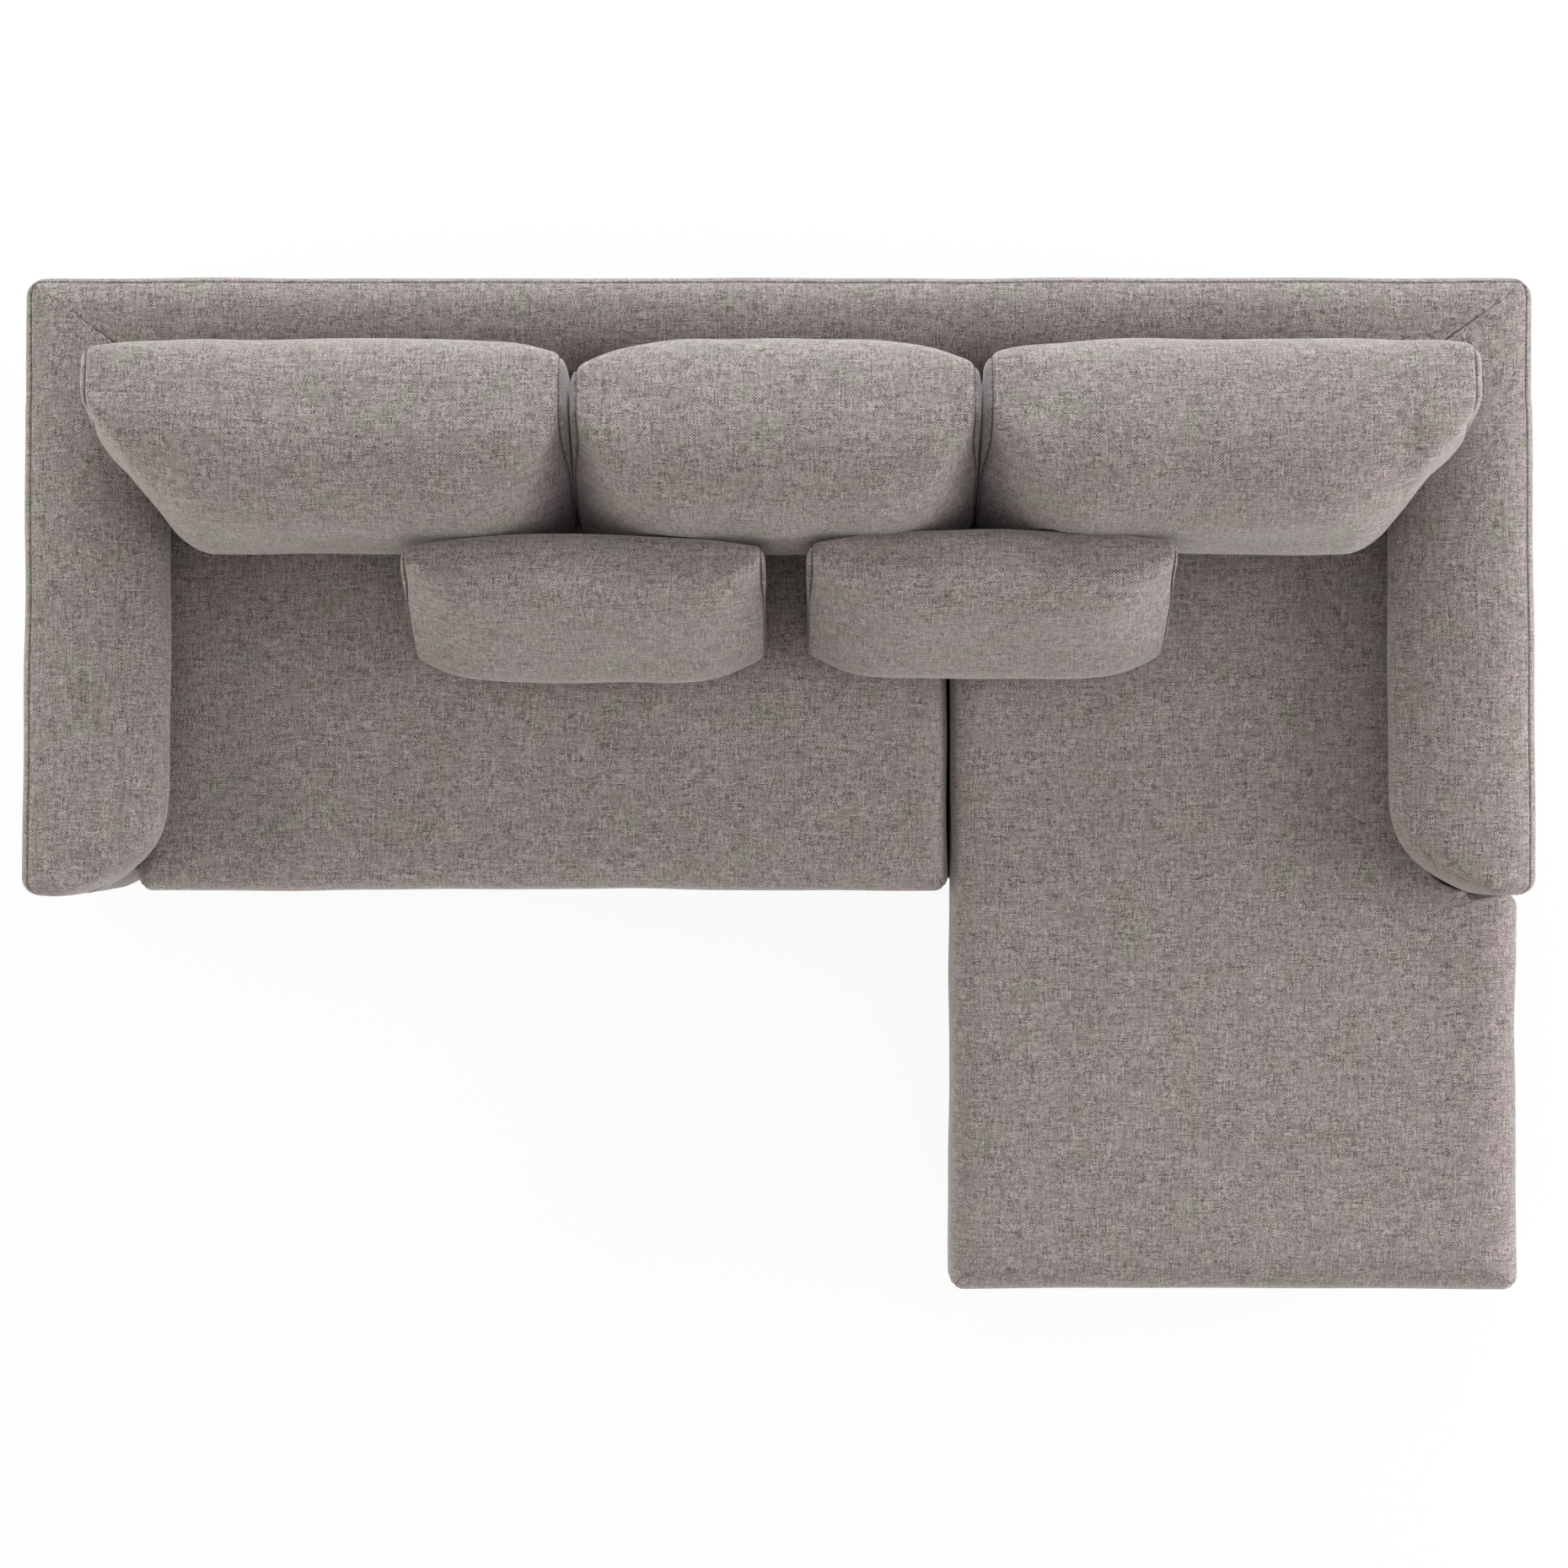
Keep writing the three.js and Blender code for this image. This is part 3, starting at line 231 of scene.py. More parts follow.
def made(name, sheets, materials, weld=2e-5):
    """A mesh from grids whose touching edges are welded. Each grid cell is one face."""
    verts, places, shades, faces, kinds = [], [], [], [], []
    start = 0
    for points, place, material, shade in sheets:
        rows, columns = points.shape[:2]
        index = start + np.arange(rows * columns).reshape(rows, columns)
        quads = np.stack([index[:-1, :-1], index[:-1, 1:], index[1:, 1:], index[1:, :-1]], axis=-1)
        faces.append(quads.reshape(-1, 4))
        verts.append(points.reshape(-1, 3))
        places.append(place.reshape(-1, 2))
        shades.append(shade.reshape(-1))
        kinds.append(np.full(len(faces[-1]), material))
        start += rows * columns
    verts, places, shades = np.concatenate(verts), np.concatenate(places), np.concatenate(shades)
    faces, kinds = np.concatenate(faces), np.concatenate(kinds)
    mesh = bpy.data.meshes.new(name)
    mesh.from_pydata(verts.tolist(), [], faces.tolist())
    mesh.uv_layers.new(name="cloth").data.foreach_set("uv", places[faces.reshape(-1)].reshape(-1))
    # The seam attribute holds the painted shade of the seams' grooves, by which the cloth's shader darkens
    # the colour.
    mesh.attributes.new("seam", "FLOAT", "POINT").data.foreach_set("value", shades)
    mesh.polygons.foreach_set("material_index", kinds.astype(np.int32))
    for material in materials:
        mesh.materials.append(material)
    work = bmesh.new()
    work.from_mesh(mesh)
    bmesh.ops.remove_doubles(work, verts=work.verts, dist=weld)
    bmesh.ops.dissolve_degenerate(work, edges=work.edges, dist=1e-7)
    bmesh.ops.recalc_face_normals(work, faces=work.faces)
    work.to_mesh(mesh)
    work.free()
    mesh.polygons.foreach_set("use_smooth", np.ones(len(mesh.polygons), dtype=bool))
    mesh.update()
    piece = bpy.data.objects.new(name, mesh)
    bpy.context.scene.collection.objects.link(piece)
    return piece


def paired_cap(ring, place, columns=12):
    """Closes a ring: straight lines from each point to its partner counted from the other end."""
    half = (len(ring) + 1) // 2
    share = np.linspace(0.0, 1.0, columns)[None, :, None]
    points = ring[:half, None] * (1.0 - share) + ring[::-1][:half, None] * share
    spread = place[:half, None] * (1.0 - share) + place[::-1][:half, None] * share
    return sheet(points, spread)


def flat_place(ring, first, second, shift=0.0):
    """Cloth coordinates of a flat panel: two of its own coordinates, with a shift so that panels differ."""
    return np.stack([ring[..., first] + shift, ring[..., second] + 0.37 * shift], axis=-1)


# Padded arms and back


# Points of a section: the first on the outer face, how many go up that face, over the shoulder, over the
# roll, in under it and down the inner wall, and the first on the shoulder, the roll and the inner wall.
FACE_START = 3
FACE_COUNT, SHOULDER_COUNT, ROLL_COUNT, UNDER_COUNT, WALL_COUNT = 26, 72, 34, 18, 24
SHOULDER_START = FACE_START + FACE_COUNT
ROLL_START = SHOULDER_START + SHOULDER_COUNT
WALL_START = ROLL_START + ROLL_COUNT + UNDER_COUNT

# Depths under the top at which the shoulder starts, the roll reaches furthest in and the roll ends.
SHOULDER_DROP, ROLL_DROP, WALL_DROP = 0.048, 0.088, 0.146

# Distance from the back face at which the arms' stations, counted from the mitre, come to stand in line, and
# the height up to which the padded pieces have no soft unevenness.
CORNER_REACH = 0.2
EVEN_HEIGHT = 0.15


def padded_section(shape, wall, overhang):
    """Outline of an arm in inset and height for each station: up the outer face, over the shoulder and the
    roll by Bezier curves, in under the roll, down the inner wall and back under the lining.
    It starts and ends in the middle of the underside."""
    wall = np.asarray(wall, float)[:, None]
    reach = wall + np.asarray(overhang, float)[:, None]
    crown = np.minimum(0.075, reach / 2.0)
    top, fold = shape.top, shape.fold
    zero = np.zeros_like(wall)
    hem, lining = zero + shape.hem, zero + shape.lining
    line = lambda a, b, count: a + (b - a) * np.linspace(0.0, 1.0, count, endpoint=False)[None]
    seam_steps = SHOULDER_COUNT - 18
    near = np.concatenate([np.linspace(0.0, 0.16, 8), np.linspace(0.17, 0.62, seam_steps),
                           np.linspace(0.66, 0.97, 10)])[None]
    even = np.linspace(0.0, 1.0, ROLL_COUNT, endpoint=False)[None]
    few = np.linspace(0.0, 1.0, UNDER_COUNT, endpoint=False)[None]
    inset = np.concatenate([
        wall / 2.0, zero + fold, zero + fold, line(zero, zero, FACE_COUNT),
        cubic(0.0, 0.0, crown - 0.034, crown, near),
        cubic(crown, reach - 0.04, reach, reach, even),
        cubic(reach, reach, np.minimum(wall + 0.03, reach), wall, few),
        line(wall, wall, WALL_COUNT), wall, wall - fold, wall - fold, wall / 2.0], axis=1)
    rise = np.concatenate([
        lining, lining, hem, line(hem, zero + top - SHOULDER_DROP, FACE_COUNT),
        cubic(top - SHOULDER_DROP, top - 0.014, top, top, near) + zero,
        cubic(top, top, top - 0.048, top - ROLL_DROP, even) + zero,
        cubic(top - ROLL_DROP, top - 0.118, top - WALL_DROP, top - WALL_DROP, few) + zero,
        line(zero + top - WALL_DROP, hem, WALL_COUNT), hem, hem, lining, lining], axis=1)
    return inset, rise


def full_section(shape):
    """The outline of an arm at the back, at its full width, as one station."""
    return padded_section(shape, np.array([shape.wall]), np.array([shape.overhang]))


def mitre_slope(shape):
    """Depth of the back for each metre of an arm's width, along the mitre."""
    return shape.back_depth / (shape.wall + shape.overhang)


def shrink_sections(inset, rise, distance):
    """Moves each outline inwards, square to itself, by one distance for each station."""
    flat = np.stack([inset, rise, np.zeros_like(inset)], axis=-1)
    ring = flat[:, :-1]
    along = np.roll(ring, -1, axis=1) - np.roll(ring, 1, axis=1)
    along = np.concatenate([along, along[:, :1]], axis=1)
    along /= np.maximum(np.linalg.norm(along, axis=-1, keepdims=True), 1e-12)
    return inset + along[..., 1] * distance, rise - along[..., 0] * distance


def corner_radius(shape, rise):
    """Radius of the back corner in plan by height: the full one near the top, and a smaller one lower down,
    where the timber stands close behind the cloth."""
    low = 0.04
    return low + (shape.corner - low) * smooth_step((rise - shape.top + 0.036) / 0.03)


def rounded_corner(corner, side, rear):
    """Plan distances from the side and the back face, moved in to the arc of the back corner."""
    along, across = corner - side, corner - rear
    distance = np.maximum(np.hypot(along, across), 1e-9)
    outside = (along > 0) & (across > 0) & (distance > corner)
    scale = np.where(outside, corner / distance, 1.0)
    return corner - along * scale, corner - across * scale


def mitre_start(corner, slope):
    """Inset at which the mitre line meets the corner's arc: the nearer root of the quadratic for both."""
    return corner * (1.0 + slope - math.sqrt(2.0 * slope)) / (1.0 + slope**2)


def mitre_rear(corner, slope, inset):
    """Distance from the back face at which the mitre lies for an inset from the side. Outside the arc of the
    corner the line points at the arc's middle, so that it lands on the same place of the arc."""
    near = mitre_start(corner, slope)
    turn = (corner - near * slope) / (corner - near)
    return np.where(inset < near, corner - (corner - inset) * turn, inset * slope)


def mitre_side(corner, slope, inset):
    """Distance from the side face at which the mitre lies for an inset of the section, seen from the back."""
    near = mitre_start(corner, slope)
    turn = (corner - near) / (corner - near * slope)
    return np.where(inset < near, corner - (corner - inset * slope) * turn, inset)


# Distances from a mitre of the stations nearest to it.
CLOSE_STEPS = np.array([0.0004, 0.0014, 0.0026, 0.004, 0.006, 0.009])


def corner_walk(start, far):
    """Distances from the start at the mitre to the far end, close together at the mitre."""
    last = CLOSE_STEPS[-1]
    shares = (np.linspace(0.0, 1.0, 22)[1:, None]) ** 1.4
    near = start[None] + CLOSE_STEPS[:, None]
    rest = (start + last)[None] + shares * (far - start - last)[None]
    return np.concatenate([near, rest])


def opened(inset):
    """The mitre opens towards the seat: its depth grows with the inset over the inner part of the roll."""
    return 1.0 + 2.2 * smooth_step((inset[:1] / inset.max() - 0.55) / 0.4)


def mitre_gap(rise, shape):
    """Half the gap at the mitre. It is negative, an overlap: a hair at the top, and more lower down."""
    return -0.001 + 0.0008 * smooth_step((rise - shape.top + 0.06) / 0.04)


def shade_mitre(shape, points, bell):
    """Paints shade into the mitre's crease at the stations nearest the mitre that a piece ends at: over the
    top only, with a bell of the distance, and stronger towards the seat, where the crease opens deeper."""
    near = points[-len(CLOSE_STEPS):]
    height = smooth_step((near[..., 2] - shape.top + 0.05) / 0.03)
    inner = 0.3 + 0.7 * smooth_step((shape.outer_side - np.abs(near[..., 0]) - 0.05) / 0.12)
    shade = 0.8 * np.exp(-(CLOSE_STEPS[::-1] / 0.0017) ** 2)[:, None] * height * inner
    bell[-len(near):] = np.maximum(bell[-len(near):], shade)


def turned_in(seams, count):
    """How far the cloth turns in at each station from the mitre: a quarter circle over the close steps."""
    reach = CLOSE_STEPS[-1]
    inwards = seams.mitre * (1.0 - np.sqrt(np.clip(1.0 - (1.0 - CLOSE_STEPS / reach) ** 2, 0.0, 1.0)))
    return np.concatenate([inwards, np.zeros(count - len(inwards))])


def mitred_sections(shape, seams, mitre, far):
    """The full section carried from the mitre to the distance far. The mitre is the function that says at
    which distance it lies for an inset. Gives the corner's radii, the distances, insets and heights."""
    inset, rise = full_section(shape)
    corner = corner_radius(shape, rise)
    start = mitre(corner[0], mitre_slope(shape), inset[0])
    walk = corner_walk(start + mitre_gap(rise[0], shape), np.full_like(start, far))
    turn = turned_in(seams, len(walk))[:, None] * opened(inset)
    inset, rise = np.repeat(inset, len(walk), axis=0), np.repeat(rise, len(walk), axis=0)
    return corner, walk, *shrink_sections(inset, rise, turn)


def seam_groove(points, run, at, seams):
    """Presses a groove with a bell profile into a surface along one value of its run."""
    bell = np.exp(-((run - at) / seams.width) ** 2)
    return points - outward(points) * (seams.depth * bell)[..., None], bell


def front_distances(shape):
    """Distances behind the arm's front face: close round its edge, wider along the taper."""
    edge = shape.front_edge * (1.0 - np.cos(np.linspace(0.0, math.pi / 2.0, 12)))
    return np.concatenate([edge, np.linspace(shape.front_edge, 5.0 * shape.front_taper, 44)[1:]])


def arm_surface(shape, seams, seed):
    """The right arm as rings from its front face to the mitre at the back corner. The roll is drawn in
    towards the front by an exponential of the distance, and the front face is bowed as a parabola."""
    length = shape.back_face - shape.arm_front
    front = front_distances(shape)
    middle = np.linspace(front[-1], length - CORNER_REACH, 34)[1:-1]
    distance = np.concatenate([front, middle])
    flare = shape.flare * (1.0 - distance / length)
    full = shape.wall + flare + shape.overhang
    reach = full - (full - shape.front_width) * np.exp(-(distance / shape.front_taper) ** 1.35)
    wall = np.minimum(shape.wall + flare, reach - 0.006)
    ahead = np.maximum(shape.front_edge - distance, 0.0)
    edge = shape.front_edge - np.sqrt(shape.front_edge**2 - ahead**2)
    wide, tall = padded_section(shape, wall, reach - wall)
    inset, rise = shrink_sections(wide, tall, edge[:, None])
    foot = tall < shape.lining + 0.001
    inset = np.where(foot, edge[:, None] + wide * (1.0 - 2.0 * edge / wall)[:, None], inset)
    rise = np.where(foot, tall, np.maximum(rise, shape.hem))
    side = shape.outer_side + flare[:, None] - inset
    across = 2.0 * inset / reach[:, None] - 1.0
    bowed = shape.front_bow * across**2 * np.maximum(1.0 - distance / 0.12, 0.0)[:, None]
    straight = np.stack([side, shape.arm_front + distance[:, None] + bowed, rise], axis=-1)
    corner, walk, inset, rise = mitred_sections(shape, seams, mitre_rear, CORNER_REACH)
    from_side, from_back = rounded_corner(corner, inset, walk)
    rear = np.stack([shape.outer_side - from_side, shape.back_face - from_back, np.maximum(rise, shape.hem)],
                    axis=-1)
    points, place, bell = padded_skin(np.concatenate([straight, rear[::-1]]), 1, seams, seed)
    shade_mitre(shape, points, bell)
    return points, place, bell


def back_surface(shape, seams, seed):
    """The back as rings from one mitre to the other, with the arm's section as deep as the mitre makes it.
    The middle is the straight blend of its two ends."""
    slope = mitre_slope(shape)
    corner, walk, inset, rise = mitred_sections(shape, seams, mitre_side, CORNER_REACH / slope)
    from_side, from_back = rounded_corner(corner, walk, inset * slope)
    left = np.stack([from_side - shape.outer_side, shape.back_face - from_back, np.maximum(rise, shape.hem)],
                    axis=-1)
    right = left[::-1] * np.array([-1.0, 1.0, 1.0])
    share = np.linspace(0.0, 1.0, 130)[1:-1, None, None]
    between = left[-1:] * (1.0 - share) + right[:1] * share
    points, place, bell = padded_skin(np.concatenate([left, between, right]), 0, seams, seed)
    shade_mitre(shape, points, bell)
    shade_mitre(shape, points[::-1], bell[::-1])
    return points, place, bell


def padded_skin(points, lengthways, seams, seed):
    """Adds the top seam's groove, and soft unevenness above the hem, and lays out the cloth. Across the piece
    its coordinate is the distance round the section from the outer hem, and on the inner wall the distance
    from that wall's lower edge. Along the piece it is the piece's own axis where the cloth faces up, and the
    distance over the surface where it doesn't, as round the arm's front."""
    middle = len(points) // 2
    run = run_length(points, 1)
    run = run - run[:, FACE_START:FACE_START + 1]
    over_hem = points[..., 2:] > EVEN_HEIGHT
    points = points + outward(points) * np.where(
        over_hem, waves(points, seed, 0.25, 0.0006)[..., None], 0.0)
    section = points.copy()
    section[..., lengthways] = 0.0
    across = run_length(section, 1)
    across = across - across[:, FACE_START:FACE_START + 1]
    edge = WALL_START + WALL_COUNT - 1
    hung = across - across[:, edge:edge + 1] + across[middle, edge]
    hang_start, hang_steps = ROLL_START + 25, 24.0
    under = smooth_step((np.arange(points.shape[1]) - hang_start) / hang_steps)
    across = across + (hung - across) * under
    outer_half = SHOULDER_START + 31
    off_seam = np.abs(points[middle, :outer_half, 2] - (points[..., 2].max() - seams.drop))
    at = run[middle, int(np.argmin(off_seam))]
    # The bell presses the top seam's groove and is also its painted shade.
    points, bell = seam_groove(points, run, at, seams)
    step = np.diff(points, axis=0)
    level = smooth_step(outward(points)[..., 2] / 0.7 - 0.3)
    step[..., 1 - lengthways] *= 1.0 - (level[1:] + level[:-1]) / 2.0
    along = np.cumsum(np.linalg.norm(step, axis=-1), axis=0)
    along = np.concatenate([np.zeros_like(along[:1]), along])
    along = along - along[middle] + points[middle, :, lengthways]
    return points, np.stack([along, across], axis=-1), bell


def padded_piece(name, skin, materials, shift):
    """A closed padded piece: its skin, its two ends, and the lining as a second material underneath."""
    points, place, bell = skin
    place = place + shift
    cloth = sheet(points[:, 2:-2], place[:, 2:-2], 0, bell[:, 2:-2])
    lining = [sheet(points[:, :3], place[:, :3], 1), sheet(points[:, -3:], place[:, -3:], 1)]
    across = 1 if name == "back_upholstery" else 0
    caps = [paired_cap(points[i], flat_place(points[i], across, 2, shift)) for i in (0, -1)]
    return made(name, [cloth, *lining, *caps], materials)


# Seat cushions


# Share of a seat cushion's height at which its crown starts, and its sewn seams: half width of the grooves,
# height of the lower one above the cushion's bottom, and depth of all.
CROWN_START = 0.62
CORNER_SEAM_WIDTH, LOWER_SEAM_WIDTH = 0.0024, 0.0028
LOWER_SEAM_HEIGHT, CUSHION_SEAM_DEPTH = 0.016, 0.0016

# Steps along the arc at each corner of a seat cushion, and how far its filled front and right side stand
# before its box.
CORNER_STEPS = 20
CUSHION_FULLNESS = 0.0045


def cushion_outline(corners, inset, arc, counts, bow, shares=1.0):
    """Plan loop of a cushion: a quarter circle at each corner, and between corners a straight edge drawn in
    as a parabola. Each count is the number of steps along the edge after that corner, and each share says
    how much of the inset that edge takes."""
    places = np.array([corner[:2] for corner in corners])
    ahead = np.roll(places, -1, axis=0) - places
    ahead /= np.linalg.norm(ahead, axis=1, keepdims=True)
    behind = np.roll(ahead, 1, axis=0)
    inwards = lambda heading: np.stack([-heading[:, 1], heading[:, 0]], axis=1)
    after = np.broadcast_to(np.asarray(shares, float), (len(corners),)) * inset
    before = np.roll(after, 1)
    moved = places + after[:, None] * inwards(ahead) + before[:, None] * inwards(behind)
    hollow = behind[:, 0] * ahead[:, 1] - behind[:, 1] * ahead[:, 0] < 0
    radii = np.array([corner[2] for corner in corners])
    mean = (after + before) / 2.0
    radii = np.where(hollow, radii + mean, np.maximum(radii - mean, 0.25 * radii))
    angle = np.linspace(0.0, math.pi / 2.0, arc + 1)[:, None]
    arcs = []
    for i in range(len(corners)):
        centre = moved[i] - radii[i] * behind[i] + radii[i] * ahead[i]
        arcs.append(centre - radii[i] * np.cos(angle) * ahead[i] + radii[i] * np.sin(angle) * behind[i])
    loop = []
    for i, count in enumerate(counts):
        begin, end = arcs[i][-1], arcs[(i + 1) % len(arcs)][0]
        share = np.linspace(0.0, 1.0, count + 1)[1:-1, None]
        side = np.array([-(end - begin)[1], (end - begin)[0]])
        side /= np.linalg.norm(side)
        drawn = bow * 4.0 * share * (1.0 - share)
        loop += [arcs[i], begin + share * (end - begin) + drawn * side]
    return np.concatenate(loop)


def edge_normals(corners, arc, counts):
    """Outward plan normal of the nearest straight edge for each point of the plan loop."""
    places = np.array([corner[:2] for corner in corners])
    ahead = np.roll(places, -1, axis=0) - places
    ahead /= np.linalg.norm(ahead, axis=1, keepdims=True)
    normals = np.stack([ahead[:, 1], -ahead[:, 0]], axis=1)
    half = arc // 2
    return np.concatenate([np.repeat(normals[[i - 1, i]], [half, arc + 1 - half + count - 1], axis=0)
                           for i, count in enumerate(counts)])


def cushion_profile():
    """Side of a seat cushion as inset and height shares, from the bottom to the top: a quarter ellipse under
    the widest part, a straight stretch, and over the edge a wide superellipse that runs out level."""
    low = np.linspace(-math.pi / 2.0, 0.0, 16)
    lower = np.stack([0.022 * (1.0 - np.cos(low)) ** 1.6, 0.4 * (1.0 + np.sin(low))], axis=1)
    straight = np.stack([np.zeros(4), np.linspace(0.4, CROWN_START, 6)[1:-1]], axis=1)
    across = np.sin(np.linspace(0.0, math.pi / 2.0, 30)) ** 2
    over = np.minimum(1.0 - (1.0 - across) ** 2.7, 1.0) ** 0.5
    upper = np.stack([0.115 * across, CROWN_START + (1.0 - CROWN_START) * over], axis=1)
    return np.concatenate([lower, straight, upper])


def between_sides(front, right, back, left):
    """Coons patch: the sum of the ruled surfaces between facing sides, less the one through the corners."""
    s = np.linspace(0.0, 1.0, len(front))[None, :, None]
    t = np.linspace(0.0, 1.0, len(left))[:, None, None]
    ruled = (1.0 - s) * left[:, None] + s * right[:, None] + (1.0 - t) * front[None] + t * back[None]
    corners = ((1.0 - s) * (1.0 - t) * front[0] + s * (1.0 - t) * front[-1]
               + (1.0 - s) * t * back[0] + s * t * back[-1])
    return ruled - corners


def seat_cushion(name, corners, low, high, counts, turns, shares, materials, seed):
    """A seat cushion: rings up its side, and a patch across its top and its bottom.
    Turns are the corners at which the patch turns, the others lie along its right side.
    Shares are how far the crown reaches in from each edge. The cloth hangs square down from each edge."""
    arc = CORNER_STEPS
    profile = cushion_profile()
    crowned = profile[:, 1] > CROWN_START
    loops = np.stack([cushion_outline(corners, inset, arc, counts, 0.003, shares if over else 1.0)
                      for (inset, _), over in zip(profile, crowned)])
    height = low + profile[:, 1] * (high - low)
    rings = np.concatenate([loops, np.broadcast_to(height[:, None, None], (*loops.shape[:2], 1))], axis=-1)
    starts = np.cumsum([0] + [arc + 1 + count - 1 for count in counts])
    middles = [int(starts[turn]) + arc // 2 for turn in turns]
    marks = [0] + [middle - middles[0] for middle in middles[1:]] + [rings.shape[1]]
    close = lambda loop: np.concatenate([np.roll(loop, -middles[0], axis=0)] * 2)[:len(loop) + 1]
    rings = np.stack([close(ring) for ring in rings])
    across = lambda ring: between_sides(ring[:marks[1] + 1], ring[marks[1]:marks[2] + 1],
                                        ring[marks[2]:marks[3] + 1][::-1], ring[marks[3]:][::-1])
    top, under = across(rings[-1]), across(rings[0])
    top[..., 2] += crown_rise(top.shape[0], top.shape[1], 0.0035)
    widest = int(np.argmax(crowned)) - 1
    gap = run_length(rings[widest:widest + 1], 1)[0]
    # The bells press the corner and lower seams' grooves, and are also their painted shade.
    corner_seam = np.exp(-(np.abs(gap[:, None] - gap[marks]).min(axis=1) / CORNER_SEAM_WIDTH) ** 2)
    bell = corner_seam[None] * smooth_step((0.97 - profile[:, 1]) / 0.12)[:, None]
    lower_seam = np.exp(-((height - low - LOWER_SEAM_HEIGHT) / LOWER_SEAM_WIDTH) ** 2)
    bell = np.maximum(bell, lower_seam[:, None] * 0.9)
    heading = close(edge_normals(corners, arc, counts))
    run = run_length(rings[::-1], 0)[::-1]
    level = ((rings[..., :2] - rings[-1, :, :2]) * heading).sum(axis=-1)
    place = rings[..., :2] + heading * (run - level)[..., None]
    normal = outward(rings)
    soft = waves(rings, seed, 0.2, 0.0007) * smooth_step((height - low) / 0.05)[:, None]
    rings = rings + normal * (soft - CUSHION_SEAM_DEPTH * bell)[..., None]
    spread = top[..., :2].copy()
    top[..., 2] += waves(top, seed, 0.2, 0.0007)
    sheets = [sheet(rings, place, 0, bell), sheet(top, spread), sheet(under, under[..., :2] + 0.4)]
    return made(name, sheets, materials, weld=1e-4)


def crown_rise(rows, columns, height):
    """Rise of a cushion's top: a flattened dome, the product of two sines, level at its edges."""
    down = np.sin(math.pi * np.linspace(0.0, 1.0, rows)) ** 2
    over = np.sin(math.pi * np.linspace(0.0, 1.0, columns)) ** 2
    return height * down[:, None] * over[None]


# Back cushions and lumbar pillows


# A boxed cushion's height, its front and rear from the middle and its tilt in degrees. How far its front is
# drawn in at an end low down, at the top, and where an ear starts, how far its top sinks at an end and at an
# ear, and how far each reaches from the end. The edge is the swell of the sewn end panel. The powers are the
# superellipse's own, at an end, at an ear and over the front's upper shoulder.
CUSHION = {"height": 0.4, "front": 0.157, "rear": 0.154, "tilt": 14.0,
           "draw": 0.085, "top_front": 0.15, "ear_base": 0.048, "top_draw": 0.006, "ear_top_draw": 0.022,
           "reach": 0.155, "top_reach": 0.2, "back_reach": 0.23, "edge": 0.012,
           "power": 3.0, "end_power": 5.5, "ear_power": 5.0, "shoulder": 2.4}
LUMBAR = {"height": 0.32, "front": 0.078, "rear": 0.078, "tilt": 26.0,
          "draw": 0.07, "top_front": 0.085, "ear_base": 0.0, "top_draw": 0.004, "ear_top_draw": 0.0,
          "reach": 0.2, "top_reach": 0.2, "back_reach": 0.3, "edge": 0.006,
          "power": 4.0, "end_power": 6.0, "ear_power": 3.0, "shoulder": 3.4}

# How far the rear of each cushion is drawn in at its left and its right end.
BACK_DRAWS = {"left": (0.026, 0.042), "middle": (0.07, 0.062), "right": (0.042, 0.02)}
LUMBAR_DRAWS = {"left": (0.041, 0.039), "right": (0.04, 0.035)}

# How far each ear stops short of its cover's box, and how far its front is drawn in.
EARS = {"left": (0.008, 0.166), "middle": (0.0, 0.0), "right": (0.008, 0.158)}

# How far each pillow stops short of its box on the left and the right, and its shift backwards.
LUMBAR_PLACES = {"left": (0.008, 0.008, 0.004), "right": (0.002, 0.005, 0.01)}

# Distances from an end seam of the stations next to it, and the shares of the section in the sewn end panel.
SEAM_STEPS = np.array([0.0, 0.0007, 0.0015, 0.0024, 0.0035, 0.005, 0.0075, 0.0115])
PANEL_SHARES = np.array([0.995, 0.988, 0.978, 0.965, 0.95, 0.93, 0.9, 0.86, 0.8, 0.7, 0.55, 0.38, 0.2, 0.0])

# Power of the distance by which a cushion's rear and top are drawn in towards its ends, length over which its
# section grows squarer there, and the half width of its end seams.
END_POWER, SQUARE_REACH, END_SEAM_WIDTH = 2.6, 0.14, 0.0021

# Points round a boxed cushion, from under its middle back to there, and the one at its top.
ROUND_COUNT, TOP_POINT = 181, 90

# Room left between cushions and the seat, the arms and the back, and between an ear's own shape and the arm.
SEAT_ROOM, ARM_ROOM, BACK_ROOM, EAR_ROOM = 0.0006, 0.0012, 0.0015, 0.0015


def arm_top(shape, across):
    """Height of the arm's roll at a distance from the middle of the sofa, and nothing inside the roll."""
    inset, rise = full_section(shape)
    top = slice(SHOULDER_START + 40, ROLL_START + ROLL_COUNT)
    side = shape.outer_side - inset[0, top]
    order = np.argsort(side)
    return np.interp(across, side[order], rise[0, top][order], left=0.0)


def back_limit(shape, height):
    """Front of the padded back at a height: the section's inner side, seen at the back's own depth."""
    inset, rise = full_section(shape)
    inner = slice(ROLL_START + 3, WALL_START + WALL_COUNT - 2)
    face = shape.back_face - inset[0, inner] * mitre_slope(shape)
    order = np.argsort(rise[0, inner])
    return np.interp(height, rise[0, inner][order], face[order], right=9.0)


def furthest_back(form, power, top, bottom):
    """How far a tilted superellipse reaches back: its middle and its support, from the dual power."""
    tilt = math.radians(form["tilt"])
    dual = power / (power - 1.0)
    deep = (form["front"] + form["rear"]) / 2.0 * math.cos(tilt)
    tall = (top - bottom) / 2.0 * math.sin(tilt)
    return (deep**dual + tall**dual) ** (1.0 / dual) + (top + bottom) / 2.0 * math.sin(tilt)


